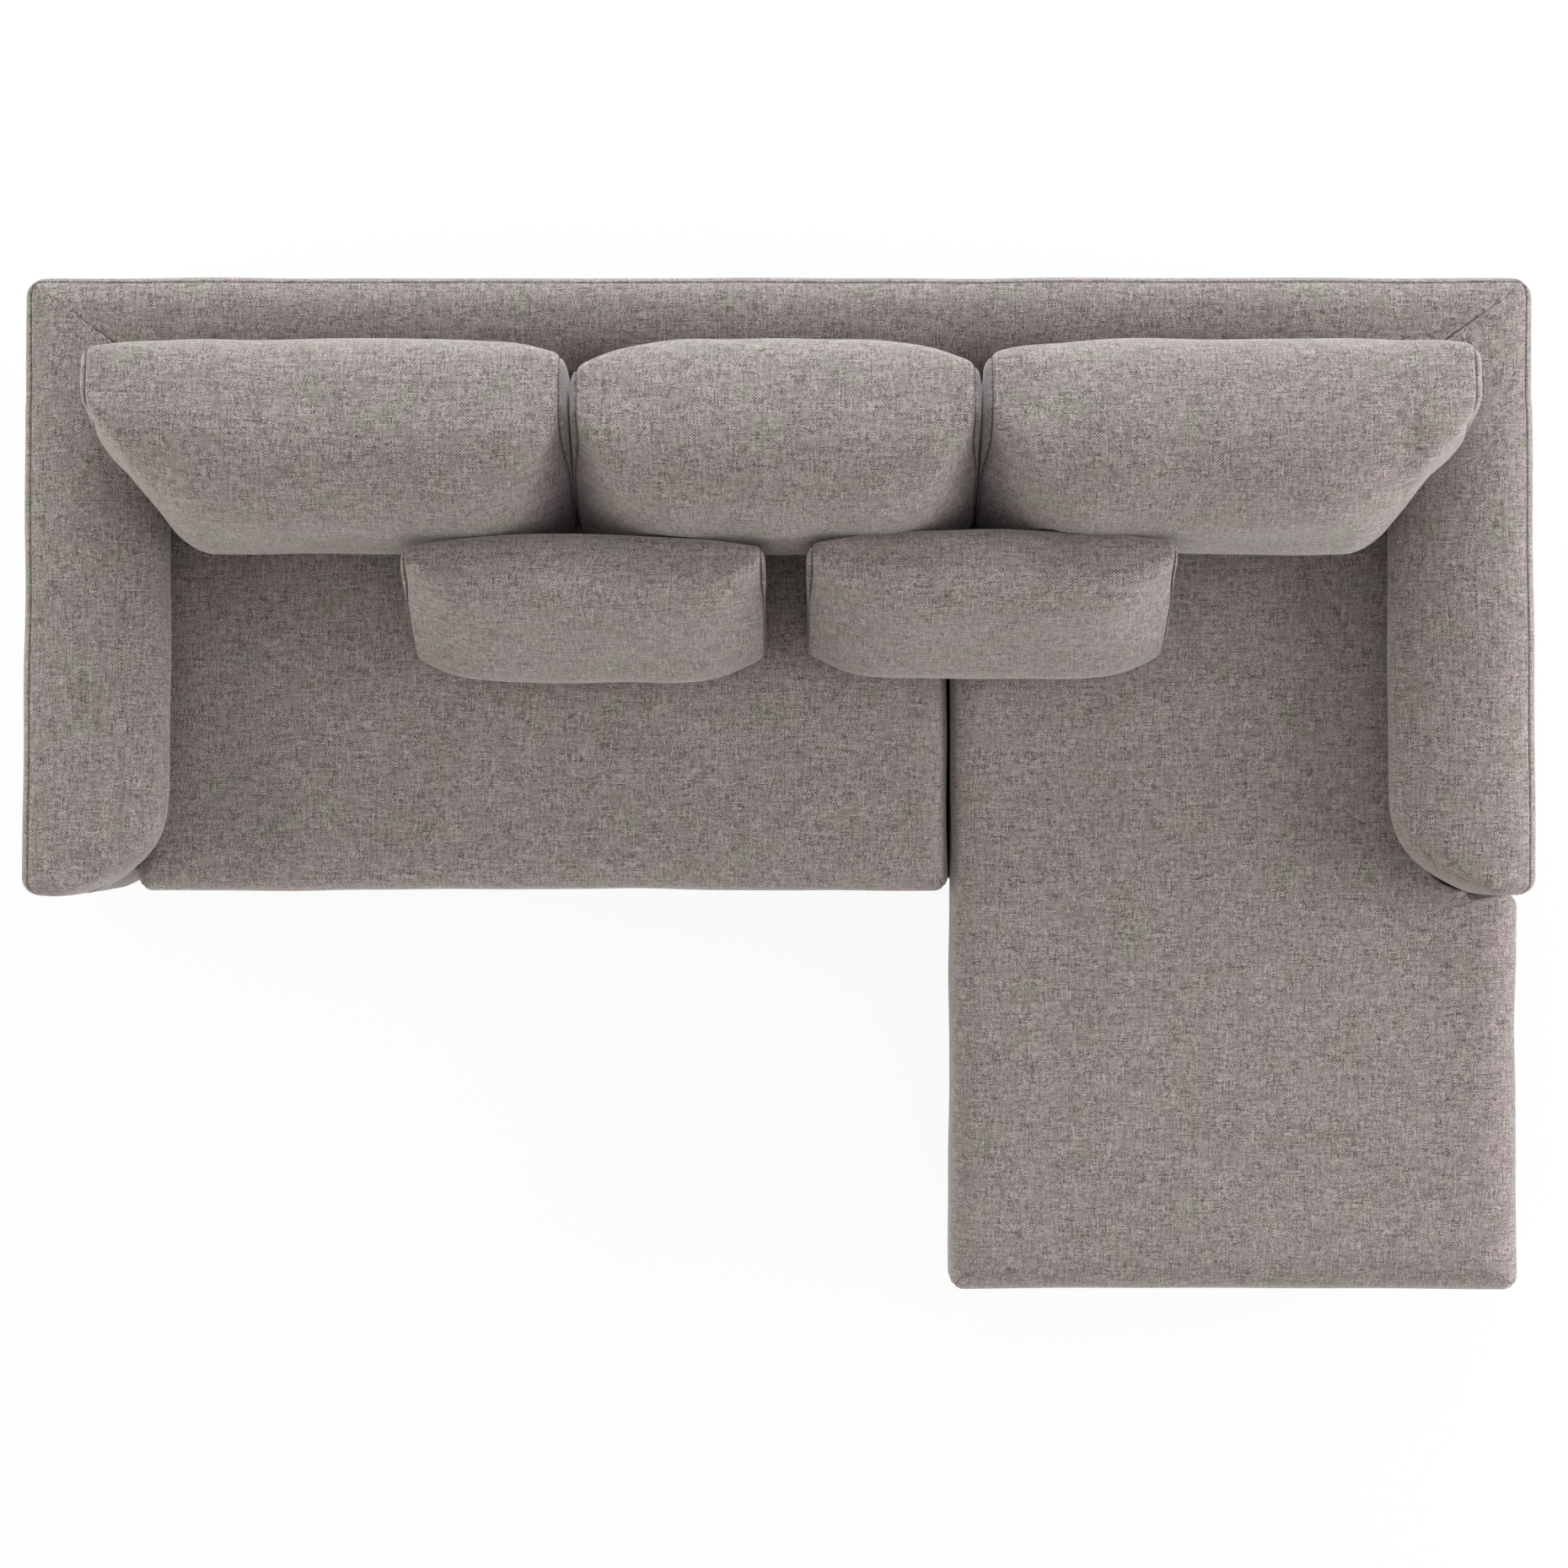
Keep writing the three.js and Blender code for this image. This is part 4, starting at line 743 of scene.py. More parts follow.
def front_draws(form, ears, ear_draw, distances):
    """How far a cushion's front is drawn in at each station, low down and at its top, from both ends. Towards
    a plain end both grow by a power of the distance. On an ear the lower one goes on evenly from the arm's
    inner edge, and is rounded off at the end."""
    low_draw, high_draw = np.zeros_like(distances[0]), np.zeros_like(distances[0])
    for ear, distance in zip(ears, distances):
        if ear:
            low = (form["ear_base"] * fall(np.maximum(distance - ear, 0.0), 0.075, 2.0)
                   + (ear_draw - form["ear_base"]) * np.maximum(ear - distance, 0.0) / ear
                   + 0.035 * fall(distance, 0.05, 2.2))
            high = ear_draw * fall(distance, ear + form["reach"], 2.0)
        else:
            low = form["draw"] * fall(distance, form["reach"], 3.0)
            high = form["top_front"] * fall(distance, form["top_reach"], END_POWER)
        low_draw, high_draw = low_draw + low, high_draw + np.maximum(high, low)
    return low_draw, high_draw


def tilted_rings(form, centre, x, ring, out, scale):
    """Rings of a boxed cushion at the stations x, tilted about its middle. Each is a superellipse between its
    front and rear and its bottom and top, softer over the front's upper shoulder, and its front goes back by
    the lean from bottom to top. Out moves the lower front sideways, and the scale shrinks the whole ring."""
    front, rear, top, bottom, power, lean = (value[:, None] for value in ring)
    tilt = math.radians(form["tilt"])
    angle = np.linspace(0.0, 2.0 * math.pi, ROUND_COUNT) - math.pi / 2.0
    shoulder = (np.cos(angle) < 0.0) & (np.sin(angle) > 0.0)
    softer = np.minimum(power, form["shoulder"] + power - form["power"])
    off = superellipse(angle, np.where(shoulder[None], softer, power)) * scale[:, None]
    height = (top + bottom) / 2.0 + (top - bottom) / 2.0 * off * np.sin(angle)
    front = front + lean * smooth_step((height / form["height"] + 0.42) / 0.84)
    depth = (front + rear) / 2.0 + (rear - front) / 2.0 * off * np.cos(angle)
    y = centre[1] + depth * math.cos(tilt) + height * math.sin(tilt)
    z = centre[2] + height * math.cos(tilt) - depth * math.sin(tilt)
    sunk = smooth_step(-3.0 * np.cos(angle)) * smooth_step((0.8 - height / form["height"] - 0.5) / 0.3)
    return np.stack([x[:, None] + out[:, None] * sunk, y, z], axis=-1)


def boxed_surface(form, left, right, ears, ear_draw, back_draws, centre, shape, seams, seed, seat):
    """Surface of a boxed cushion: a superellipse in depth and height carried from end to end, drawn in
    towards its ends by a power of the distance, more at its top than low down, and squarer there, with a
    sewn panel that swells at each end. An ear lies over the arm and is drawn in evenly from the arm's
    inner edge. The rear is moved in where the squarer section would reach back further than the middle's."""
    tilt = math.radians(form["tilt"])
    edge = form["edge"]
    spread = np.linspace(0.0, 1.0, 150)[1:-1]
    first, last = left + edge, right - edge
    start = 0.012
    x = np.concatenate([first + SEAM_STEPS, first + start + spread * (last - first - 2.0 * start),
                        (last - SEAM_STEPS)[::-1]])
    distances = x - left, right - x
    power, over = form["power"], np.zeros_like(x)
    for ear, distance in zip(ears, distances):
        square = form["ear_power"] if ear else form["end_power"]
        power = power + (square - form["power"]) * smooth_step(fall(distance, SQUARE_REACH, 1.0))
        if ear:
            over = np.maximum(over, smooth_step((ear + 0.012 - distance) / 0.06))
    turned = 0.006 * (fall(distances[0] - edge, 0.012, 2.0) + fall(distances[1] - edge, 0.012, 2.0))
    low_draw, high_draw = front_draws(form, ears, ear_draw, distances)
    front = -form["front"] + low_draw + turned
    drawn = [fall(distance, form["back_reach"], END_POWER) for distance in distances]
    rear = form["rear"] - back_draws[0] * drawn[0] - back_draws[1] * drawn[1] - turned
    sinks = [form["ear_top_draw"] if ear else form["top_draw"] for ear in ears]
    half = form["height"] / 2.0
    top = half - sinks[0] * drawn[0] - sinks[1] * drawn[1] - turned
    lifted = (shape.top + EAR_ROOM - centre[2] + rear * math.sin(tilt)) / math.cos(tilt)
    bottom = -half + over * (lifted + half)
    rear = rear - (furthest_back(form, power, top, bottom)
                   - furthest_back(form, form["power"], half, -half)) / math.cos(tilt)
    scale = PANEL_SHARES
    swell = edge * (1.0 - scale**10)
    sag = 0.85 * edge
    out = sag * (fall(last - x, 0.05, 2.0) - fall(x - first, 0.05, 2.0))
    ring = (front, rear, top, bottom, power, high_draw - low_draw)
    first_ring, last_ring = ([np.full(len(scale), value[i]) for value in ring] for i in (0, -1))
    points = np.concatenate([
        tilted_rings(form, centre, first - swell, first_ring, -sag * scale**10, scale)[::-1],
        tilted_rings(form, centre, x, ring, out, np.ones_like(x)),
        tilted_rings(form, centre, last + swell, last_ring, sag * scale**10, scale)])
    run = run_length(points, 1)
    panel = (1.0 - scale) * 0.17
    distance = np.concatenate([panel[::-1], np.minimum(x - first, last - x), panel])
    # The bell presses the end seams' grooves, and is also their painted shade.
    bell = np.exp(-(distance / END_SEAM_WIDTH) ** 2)[:, None] * np.ones_like(run)
    normal = outward(points)
    body_part = smooth_step(distance / 0.04)[:, None]
    points = points + normal * (body_part * waves(points, seed, 0.2, 0.0011) - seams.depth * bell)[..., None]
    under = np.maximum(seat, arm_top(shape, np.abs(points[..., 0])) + ARM_ROOM)
    points[..., 2] = np.maximum(points[..., 2], under)
    points[..., 1] = np.minimum(points[..., 1], back_limit(shape, points[..., 2]) - BACK_ROOM)
    return points, run, bell


def boxed_piece(name, surface, material, seed):
    """A boxed cushion's mesh: cloth laid straight along its body, its threads level with the plan at the top,
    and flat across the sewn panel at each end."""
    points, run, bell = surface
    crest = slice(TOP_POINT, TOP_POINT + 1)
    middle = points[len(points) // 2, TOP_POINT, 1]
    down = run - run[:, crest] + middle - points[:, crest, 1]
    body = np.stack([points[..., 0], down], axis=-1) + seed * 0.371
    panel = points[..., 1:] + seed * 0.23
    ends = len(PANEL_SHARES)
    parts = [(body, slice(ends, -ends)), (panel, slice(None, ends + 1)), (panel, slice(-ends - 1, None))]
    sheets = [sheet(points[rows], place[rows], 0, bell[rows]) for place, rows in parts]
    return made(name, sheets, [material], weld=1e-5)


# Bands and legs


# Swell of a band's face, its thickness, the width turned under the front rail, and how far that rail's band
# runs in behind each arm.
BAND_SWELL, BAND_THICKNESS, BAND_FOLD, BAND_TUCK = 0.0012, 0.0038, 0.026, 0.02

# Radius of the chaise border's corners.
BORDER_CORNER = 0.008


def band_profile(low, high, thick, fold):
    """Closed profile of an upholstered band in depth and height: a faintly swollen face, a rounded top edge
    and a fold turned under at the bottom."""
    up = np.linspace(0.0, 1.0, 26)
    face = np.stack([-BAND_SWELL * np.sin(math.pi * up), low + (high - 0.003 - low) * up], axis=1)
    turn = np.linspace(math.pi, math.pi / 2.0, 6)[1:]
    over = np.stack([0.003 + 0.003 * np.cos(turn), high - 0.003 + 0.003 * np.sin(turn)], axis=1)
    rest = np.array([[thick, high], [thick, high - 0.02], [thick, low + 0.003], [fold, low + 0.003],
                     [fold, low], [fold / 2.0, low]])
    return np.concatenate([face, over, rest, face[:1]])


def turned_leg(name, x, y, height, material):
    """A leg turned on a lathe: a straight taper with rounded edges, and its stud, swept round the axis."""
    foot, top = 0.016, 0.026
    bend = np.linspace(0.0, math.pi / 2.0, 7)
    low = np.stack([foot - 0.0025 + 0.0025 * np.sin(bend), 0.0025 * (1.0 - np.cos(bend))], axis=1)
    high = np.stack([top - 0.003 + 0.003 * np.cos(bend), height - 0.003 + 0.003 * np.sin(bend)], axis=1)
    shaft = np.linspace(low[-1], high[0], 14)[1:-1]
    stud = np.array([[0.004, height], [0.004, height + 0.02], [0.0, height + 0.02]])
    profile = np.concatenate([[[0.0, 0.0]], low, shaft, high, stud])
    angle = np.linspace(0.0, 2.0 * math.pi, 49)
    radius = profile[:, :1]
    points = np.stack([x + radius * np.cos(angle), y + radius * np.sin(angle),
                       np.broadcast_to(profile[:, 1:], (len(profile), 49))], axis=-1)
    run = run_length(points, 0)
    place = np.stack([np.broadcast_to(angle * 0.02, run.shape), run], axis=-1)
    return made(name, [sheet(points, place)], [material], weld=1e-6)


# Materials


def new_group(name, inputs, outputs):
    """A shader node group with the named sockets."""
    group = bpy.data.node_groups.new(name, "ShaderNodeTree")
    for label, kind, default in inputs:
        socket = group.interface.new_socket(name=label, in_out="INPUT", socket_type=kind)
        if default is not None:
            socket.default_value = default
    for label, kind in outputs:
        group.interface.new_socket(name=label, in_out="OUTPUT", socket_type=kind)
    return group, group.nodes.new("NodeGroupInput"), group.nodes.new("NodeGroupOutput")


def maths(tree, operation, first, second=None, clamp=False):
    """A Math node; each value is a socket or a number."""
    node = tree.nodes.new("ShaderNodeMath")
    node.operation = operation
    node.use_clamp = clamp
    for socket, value in zip(node.inputs, (first, second)):
        if isinstance(value, (int, float)):
            socket.default_value = value
        elif value is not None:
            tree.links.new(value, socket)
    return node.outputs[0]


def joined_place(tree, x, y, z=0.0):
    """A vector from three sockets or numbers."""
    node = tree.nodes.new("ShaderNodeCombineXYZ")
    for socket, value in zip(node.inputs, (x, y, z)):
        if isinstance(value, (int, float)):
            socket.default_value = value
        else:
            tree.links.new(value, socket)
    return node.outputs[0]


def noise(tree, place, scale, detail=2.0, roughness=0.5):
    """A Noise Texture's value at a place."""
    node = tree.nodes.new("ShaderNodeTexNoise")
    node.inputs["Scale"].default_value = scale
    node.inputs["Detail"].default_value = detail
    node.inputs["Roughness"].default_value = roughness
    tree.links.new(place, node.inputs["Vector"])
    return node.outputs["Fac"]


def blended(tree, share, first, second, kind="MIX"):
    """A colour mix. The share is a socket or a number, and each colour a socket or three numbers."""
    node = tree.nodes.new("ShaderNodeMix")
    node.data_type = "RGBA"
    node.blend_type = kind
    if isinstance(share, (int, float)):
        node.inputs[0].default_value = share
    else:
        tree.links.new(share, node.inputs[0])
    for socket, value in ((node.inputs[6], first), (node.inputs[7], second)):
        if hasattr(value, "is_output"):
            tree.links.new(value, socket)
        else:
            socket.default_value = (*value, 1.0)
    return node.outputs[2]


def ranged(tree, value, low, high, to_low=0.0, to_high=1.0):
    """A clamped Map Range."""
    node = tree.nodes.new("ShaderNodeMapRange")
    tree.links.new(value, node.inputs["Value"])
    for label, number in (("From Min", low), ("From Max", high), ("To Min", to_low), ("To Max", to_high)):
        node.inputs[label].default_value = number
    return node.outputs["Result"]


def woven_group():
    """Plain weave of mottled yarns. A product of two sine waves says which thread lies on top at each
    crossing, and chance gives every crossing its tone. Noise stretched along each thread makes slubs, broad
    noise makes rough and smooth patches, and another drifts between two casts. Along a seam the colour is
    darkened with painted shade of the seam's groove, broken into dashes like stitches."""
    group, given, result = new_group(
        "woven yarns",
        [("Place", "NodeSocketVector", None), ("Warp step", "NodeSocketFloat", 0.0054),
         ("Weft step", "NodeSocketFloat", 0.00475), ("Light", "NodeSocketColor", (0.3, 0.3, 0.3, 1.0)),
         ("Dark", "NodeSocketColor", (0.1, 0.1, 0.1, 1.0)),
         ("Green", "NodeSocketColor", (1.0, 1.0, 1.0, 1.0)),
         ("Warm", "NodeSocketColor", (1.0, 1.0, 1.0, 1.0)), ("Seam", "NodeSocketFloat", 0.0)],
        [("Color", "NodeSocketColor"), ("Roughness", "NodeSocketFloat"), ("Height", "NodeSocketFloat")])
    place = given.outputs["Place"]
    centred = lambda value, weight: maths(group, "MULTIPLY", maths(group, "SUBTRACT", value, 0.5), weight)
    split = group.nodes.new("ShaderNodeSeparateXYZ")
    group.links.new(place, split.inputs[0])
    bend = centred(noise(group, place, 14.0, 1.0), 0.004)
    u = maths(group, "ADD", split.outputs["X"], bend)
    v = maths(group, "ADD", split.outputs["Y"], bend)
    columns = maths(group, "DIVIDE", u, given.outputs["Warp step"])
    rows = maths(group, "DIVIDE", v, given.outputs["Weft step"])
    turn = 2.0 * math.pi
    check = maths(group, "MULTIPLY", maths(group, "SINE", maths(group, "MULTIPLY", columns, turn)),
                  maths(group, "SINE", maths(group, "MULTIPLY", rows, turn)))
    crossing = group.nodes.new("ShaderNodeTexWhiteNoise")
    crossing.noise_dimensions = "2D"
    halves = [maths(group, "FLOOR", maths(group, "MULTIPLY", value, 2.0)) for value in (columns, rows)]
    group.links.new(joined_place(group, *halves), crossing.inputs["Vector"])
    number = [maths(group, "MULTIPLY", half, 0.83) for half in halves]
    warp_tone = lambda pace, shift: noise(group, joined_place(
        group, number[0], maths(group, "MULTIPLY", v, pace), shift), 1.0, 2.0, 0.6)
    weft_tone = lambda pace, shift: noise(group, joined_place(
        group, maths(group, "MULTIPLY", u, pace), number[1], shift), 1.0, 2.0, 0.6)
    tone = group.nodes.new("ShaderNodeMix")
    group.links.new(ranged(group, check, -0.3, 0.3), tone.inputs[0])
    group.links.new(warp_tone(42.0, 0.0), tone.inputs[2])
    group.links.new(weft_tone(42.0, 5.3), tone.inputs[3])
    slubs = maths(group, "ADD", centred(warp_tone(11.0, 2.1), 0.38), centred(weft_tone(18.0, 7.7), 0.38))
    fuzz = noise(group, place, 430.0, 2.0, 0.7)
    coarse = ranged(group, noise(group, place, 30.0, 2.0, 0.6), 0.34, 0.62, 0.6, 1.25)
    fine = maths(group, "ADD", maths(group, "MULTIPLY", check, 0.3), centred(crossing.outputs["Value"], 0.45))
    fine = maths(group, "ADD", maths(group, "ADD", fine, centred(tone.outputs[0], 1.9)), centred(fuzz, 0.3))
    level = maths(group, "ADD", maths(group, "MULTIPLY", fine, coarse), slubs)
    level = maths(group, "ADD", level, centred(noise(group, place, 9.0, 5.0, 0.65), 0.12))
    level = maths(group, "ADD", level, 0.45, clamp=True)
    base = blended(group, level, given.outputs["Dark"], given.outputs["Light"])
    cast_place = joined_place(group, split.outputs["X"], split.outputs["Y"], 3.1)
    drift = ranged(group, noise(group, cast_place, 11.0, 4.0, 0.6), 0.46, 0.74)
    cast = blended(group, drift, given.outputs["Warm"], given.outputs["Green"])
    toned = blended(group, 1.0, base, cast, "MULTIPLY")
    broken = ranged(group, noise(group, place, 300.0, 1.0), 0.4, 0.6, 0.55, 1.0)
    # Painted shade: along each seam's groove the seam share, broken into dashes like stitches, darkens the
    # cloth towards near black.
    painted_seam_shade = maths(group, "MULTIPLY", given.outputs["Seam"], broken)
    shaded = blended(group, painted_seam_shade, toned, (0.035, 0.030, 0.029))
    mound = maths(group, "MULTIPLY", maths(group, "ABSOLUTE", check), 0.6)
    height = maths(group, "ADD", mound, maths(group, "MULTIPLY", fuzz, 0.6))
    group.links.new(shaded, result.inputs["Color"])
    group.links.new(ranged(group, level, 0.0, 1.0, 0.96, 0.86), result.inputs["Roughness"])
    group.links.new(height, result.inputs["Height"])
    return group


def grain_group():
    """Wood grain: broad noise makes the rings and finer noise the pores. The material's own mapping
    draws both out along one axis."""
    group, given, result = new_group(
        "wood grain",
        [("Place", "NodeSocketVector", None), ("Light", "NodeSocketColor", (0.5, 0.35, 0.2, 1.0)),
         ("Dark", "NodeSocketColor", (0.25, 0.15, 0.08, 1.0)), ("Fineness", "NodeSocketFloat", 1.0)],
        [("Color", "NodeSocketColor"), ("Roughness", "NodeSocketFloat"), ("Height", "NodeSocketFloat")])
    scaled = group.nodes.new("ShaderNodeVectorMath")
    scaled.operation = "SCALE"
    group.links.new(given.outputs["Place"], scaled.inputs[0])
    group.links.new(given.outputs["Fineness"], scaled.inputs["Scale"])
    rings = ranged(group, noise(group, scaled.outputs[0], 1.0, 6.0, 0.62), 0.3, 0.72)
    pores = noise(group, scaled.outputs[0], 9.0, 3.0, 0.7)
    share = maths(group, "ADD", maths(group, "MULTIPLY", rings, 0.75), maths(group, "MULTIPLY", pores, 0.3),
                  clamp=True)
    colour = blended(group, share, given.outputs["Light"], given.outputs["Dark"])
    group.links.new(colour, result.inputs["Color"])
    group.links.new(ranged(group, pores, 0.3, 0.7, 0.42, 0.66), result.inputs["Roughness"])
    group.links.new(pores, result.inputs["Height"])
    return group


def new_material(name):
    """An empty material with its Principled shader."""
    material = bpy.data.materials.new(name)
    material.use_nodes = True
    shader = material.node_tree.nodes["Principled BSDF"]
    return material, material.node_tree, shader


def placed_group(tree, group, values):
    """A group node in a material, with its own values on the inputs that nothing feeds."""
    node = tree.nodes.new("ShaderNodeGroup")
    node.node_tree = group
    for label, value in values.items():
        if isinstance(value, bpy.types.NodeSocket):
            tree.links.new(value, node.inputs[label])
        elif isinstance(value, (int, float)):
            node.inputs[label].default_value = value
        else:
            node.inputs[label].default_value = (*value, 1.0)
    return node


def object_place(tree, stretch=None):
    """A piece's own Object coordinates, through a Mapping node where a stretch is given."""
    place = tree.nodes.new("ShaderNodeTexCoord").outputs["Object"]
    if stretch is None:
        return place
    mapping = tree.nodes.new("ShaderNodeMapping")
    mapping.inputs["Scale"].default_value = stretch
    tree.links.new(place, mapping.inputs["Vector"])
    return mapping.outputs[0]


def finished(tree, shader, colour, roughness, height, strength, distance):
    """Feeds a colour and a roughness to a shader, and a height to its normal through a Bump node."""
    tree.links.new(colour, shader.inputs["Base Color"])
    tree.links.new(roughness, shader.inputs["Roughness"])
    bump = tree.nodes.new("ShaderNodeBump")
    bump.inputs["Strength"].default_value = strength
    bump.inputs["Distance"].default_value = distance
    tree.links.new(height, bump.inputs["Height"])
    tree.links.new(bump.outputs["Normal"], shader.inputs["Normal"])


def upholstery_material(cloth):
    """The sofa's cloth, laid out by each piece's own cloth coordinates."""
    group = bpy.data.node_groups.get("woven yarns") or woven_group()
    material, tree, shader = new_material("grey mauve upholstery cloth")
    place = tree.nodes.new("ShaderNodeUVMap")
    place.uv_map = "cloth"
    # The seam attribute darkens the cloth with painted shade along the seams' grooves.
    seam = tree.nodes.new("ShaderNodeAttribute")
    seam.attribute_name = "seam"
    node = placed_group(tree, group, {
        "Place": place.outputs["UV"], "Seam": seam.outputs["Fac"], "Warp step": cloth.warp,
        "Weft step": cloth.weft, "Light": cloth.light, "Dark": cloth.dark, "Green": cloth.green,
        "Warm": cloth.warm})
    shader.inputs["Specular IOR Level"].default_value = 0.18
    shader.inputs["Sheen Weight"].default_value = 0.5
    shader.inputs["Sheen Roughness"].default_value = 0.4
    shader.inputs["Sheen Tint"].default_value = (0.9, 0.88, 0.86, 1.0)
    finished(tree, shader, *(node.outputs[label] for label in ("Color", "Roughness", "Height")), 0.5, 0.0008)
    return material


def lining_material():
    """Black non-woven cloth: pressed fibres with a faint dimple pattern."""
    material, tree, shader = new_material("black lining cloth")
    place = object_place(tree)
    fibres = noise(tree, place, 700.0, 3.0, 0.7)
    dimples = noise(tree, place, 160.0, 1.0)
    colour = blended(tree, fibres, (0.006, 0.006, 0.007), (0.028, 0.028, 0.031))
    finished(tree, shader, colour, ranged(tree, fibres, 0.0, 1.0, 0.8, 0.95), dimples, 0.4, 0.0004)
    return material


def webbing_material():
    """Elastic straps: a fine rib, the product of a sine wave along X and one along Y, over soft noise."""
    material, tree, shader = new_material("elastic webbing")
    place = object_place(tree)
    split = tree.nodes.new("ShaderNodeSeparateXYZ")
    tree.links.new(place, split.inputs[0])
    ribs = maths(tree, "MULTIPLY", maths(tree, "SINE", maths(tree, "MULTIPLY", split.outputs["X"], 2100.0)),
                 maths(tree, "SINE", maths(tree, "MULTIPLY", split.outputs["Y"], 2100.0)))
    tone = maths(tree, "ADD", maths(tree, "MULTIPLY", ribs, 0.3), noise(tree, place, 300.0))
    colour = blended(tree, tone, (0.02, 0.02, 0.024), (0.08, 0.08, 0.09))
    finished(tree, shader, colour, ranged(tree, tone, 0.0, 1.0, 0.7, 0.9), ribs, 0.4, 0.0005)
    return material


def wood_material(name, light, dark, stretch, fineness, coat):
    """Wood whose grain runs along the axis that has the lowest of the three scales."""
    group = bpy.data.node_groups.get("wood grain") or grain_group()
    material, tree, shader = new_material(name)
    node = placed_group(tree, group, {
        "Place": object_place(tree, stretch), "Light": light, "Dark": dark, "Fineness": fineness})
    shader.inputs["Coat Weight"].default_value = coat
    shader.inputs["Coat Roughness"].default_value = 0.25
    finished(tree, shader, *(node.outputs[label] for label in ("Color", "Roughness", "Height")), 0.25, 0.0004)
    return material


def plate_material():
    """Zinc plated steel: brushed by noise that is finer along X, and cloudy in its colour."""
    material, tree, shader = new_material("zinc plated steel")
    brushed = noise(tree, object_place(tree, (900.0, 40.0, 40.0)), 1.0, 3.0, 0.6)
    cloudy = noise(tree, object_place(tree), 60.0, 3.0)
    colour = blended(tree, cloudy, (0.42, 0.43, 0.45), (0.62, 0.62, 0.63))
    shader.inputs["Metallic"].default_value = 1.0
    finished(tree, shader, colour, ranged(tree, brushed, 0.3, 0.7, 0.28, 0.46), brushed, 0.15, 0.0002)
    return material


def kept(name, maker, *given):
    """The material of that name, made the first time that it is asked for."""
    return bpy.data.materials.get(name) or maker(*given)


def cloth_of(context):
    """The upholstery cloth, in the colours and threads that the panel gives."""
    return kept("grey mauve upholstery cloth", upholstery_material, context.scene.sofa_cloth)


def wood_of(name, *given):
    """The wood of that name, made the first time that it is asked for."""
    return kept(name, wood_material, name, *given)


# Operators


def dress_padded(piece, body, cover, filling):
    """Puts a padded piece on its body in place of its cover and filling."""
    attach(piece, body)
    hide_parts(cover, filling)


class MakeArms(bpy.types.Operator):
    """Make the two padded arms"""

    bl_idname = "sofa.make_arms"
    bl_label = "Arms"

    def execute(self, context):
        scene = context.scene
        materials = [cloth_of(context), kept("black lining cloth", lining_material)]
        for side, sign, shift, seed in (("right", 1.0, 0.0, 5), ("left", -1.0, 2.3, 11)):
            points, place, bell = arm_surface(scene.sofa_shape, scene.sofa_seams, seed)
            points = points * np.array([sign, 1.0, 1.0])
            piece = padded_piece(f"{side}_arm_upholstery", (points, place, bell), materials, shift)
            dress_padded(piece, "sofa_frame", f"{side}_arm_cover", f"{side}_arm_pad")
        return {"FINISHED"}


class MakeBack(bpy.types.Operator):
    """Make the padded back between its two mitred corners"""

    bl_idname = "sofa.make_back"
    bl_label = "Back"

    def execute(self, context):
        scene = context.scene
        materials = [cloth_of(context), kept("black lining cloth", lining_material)]
        skin = back_surface(scene.sofa_shape, scene.sofa_seams, 17)
        piece = padded_piece("back_upholstery", skin, materials, 5.1)
        dress_padded(piece, "sofa_frame", "back_cover", "back_pad")
        return {"FINISHED"}


class MakeSeatCushions(bpy.types.Operator):
    """Make the bench cushion and the L-shaped chaise cushion"""

    bl_idname = "sofa.make_seat_cushions"
    bl_label = "Seat cushions"

    def execute(self, context):
        scene = context.scene
        cloth = [cloth_of(context)]
        full = CUSHION_FULLNESS
        bench = [(BENCH_LOW[0], BENCH_LOW[1] - full, 0.025), (BENCH_HIGH[0], BENCH_LOW[1] - full, 0.025),
                 (BENCH_HIGH[0], BENCH_HIGH[1], 0.03), (BENCH_LOW[0], BENCH_HIGH[1], 0.03)]
        piece = seat_cushion("bench_cushion", bench, BENCH_LOW[2], BENCH_HIGH[2], [110, 70, 110, 70],
                             [0, 1, 2, 3], [0.6, 0.45, 0.5, 0.4], cloth, 23)
        dress_padded(piece, "bench_cushion", "bench_cushion_cover", "bench_cushion_core")
        inner = -BENCH_LOW[0]
        ear = scene.sofa_shape.arm_front - SEAT_ROOM
        far = CHAISE_HIGH[0] + full
        chaise = [(CHAISE_LOW[0], CHAISE_LOW[1] - full, 0.025), (far, CHAISE_LOW[1] - full, 0.025),
                  (far, ear, 0.025), (inner, ear, 0.078), (inner, CHAISE_HIGH[1], 0.03),
                  (CHAISE_LOW[0], CHAISE_HIGH[1], 0.03)]
        right = [56, 14, 62]
        left = sum(right) + 2 * CORNER_STEPS
        piece = seat_cushion("chaise_cushion", chaise, CHAISE_LOW[2], CHAISE_HIGH[2], [76, *right, 76, left],
                             [0, 1, 4, 5], [0.7, 0.9, 0.12, 0.12, 0.5, 0.45], cloth, 29)
        dress_padded(piece, "chaise_cushion", "chaise_cushion_cover", "chaise_cushion_core")
        return {"FINISHED"}


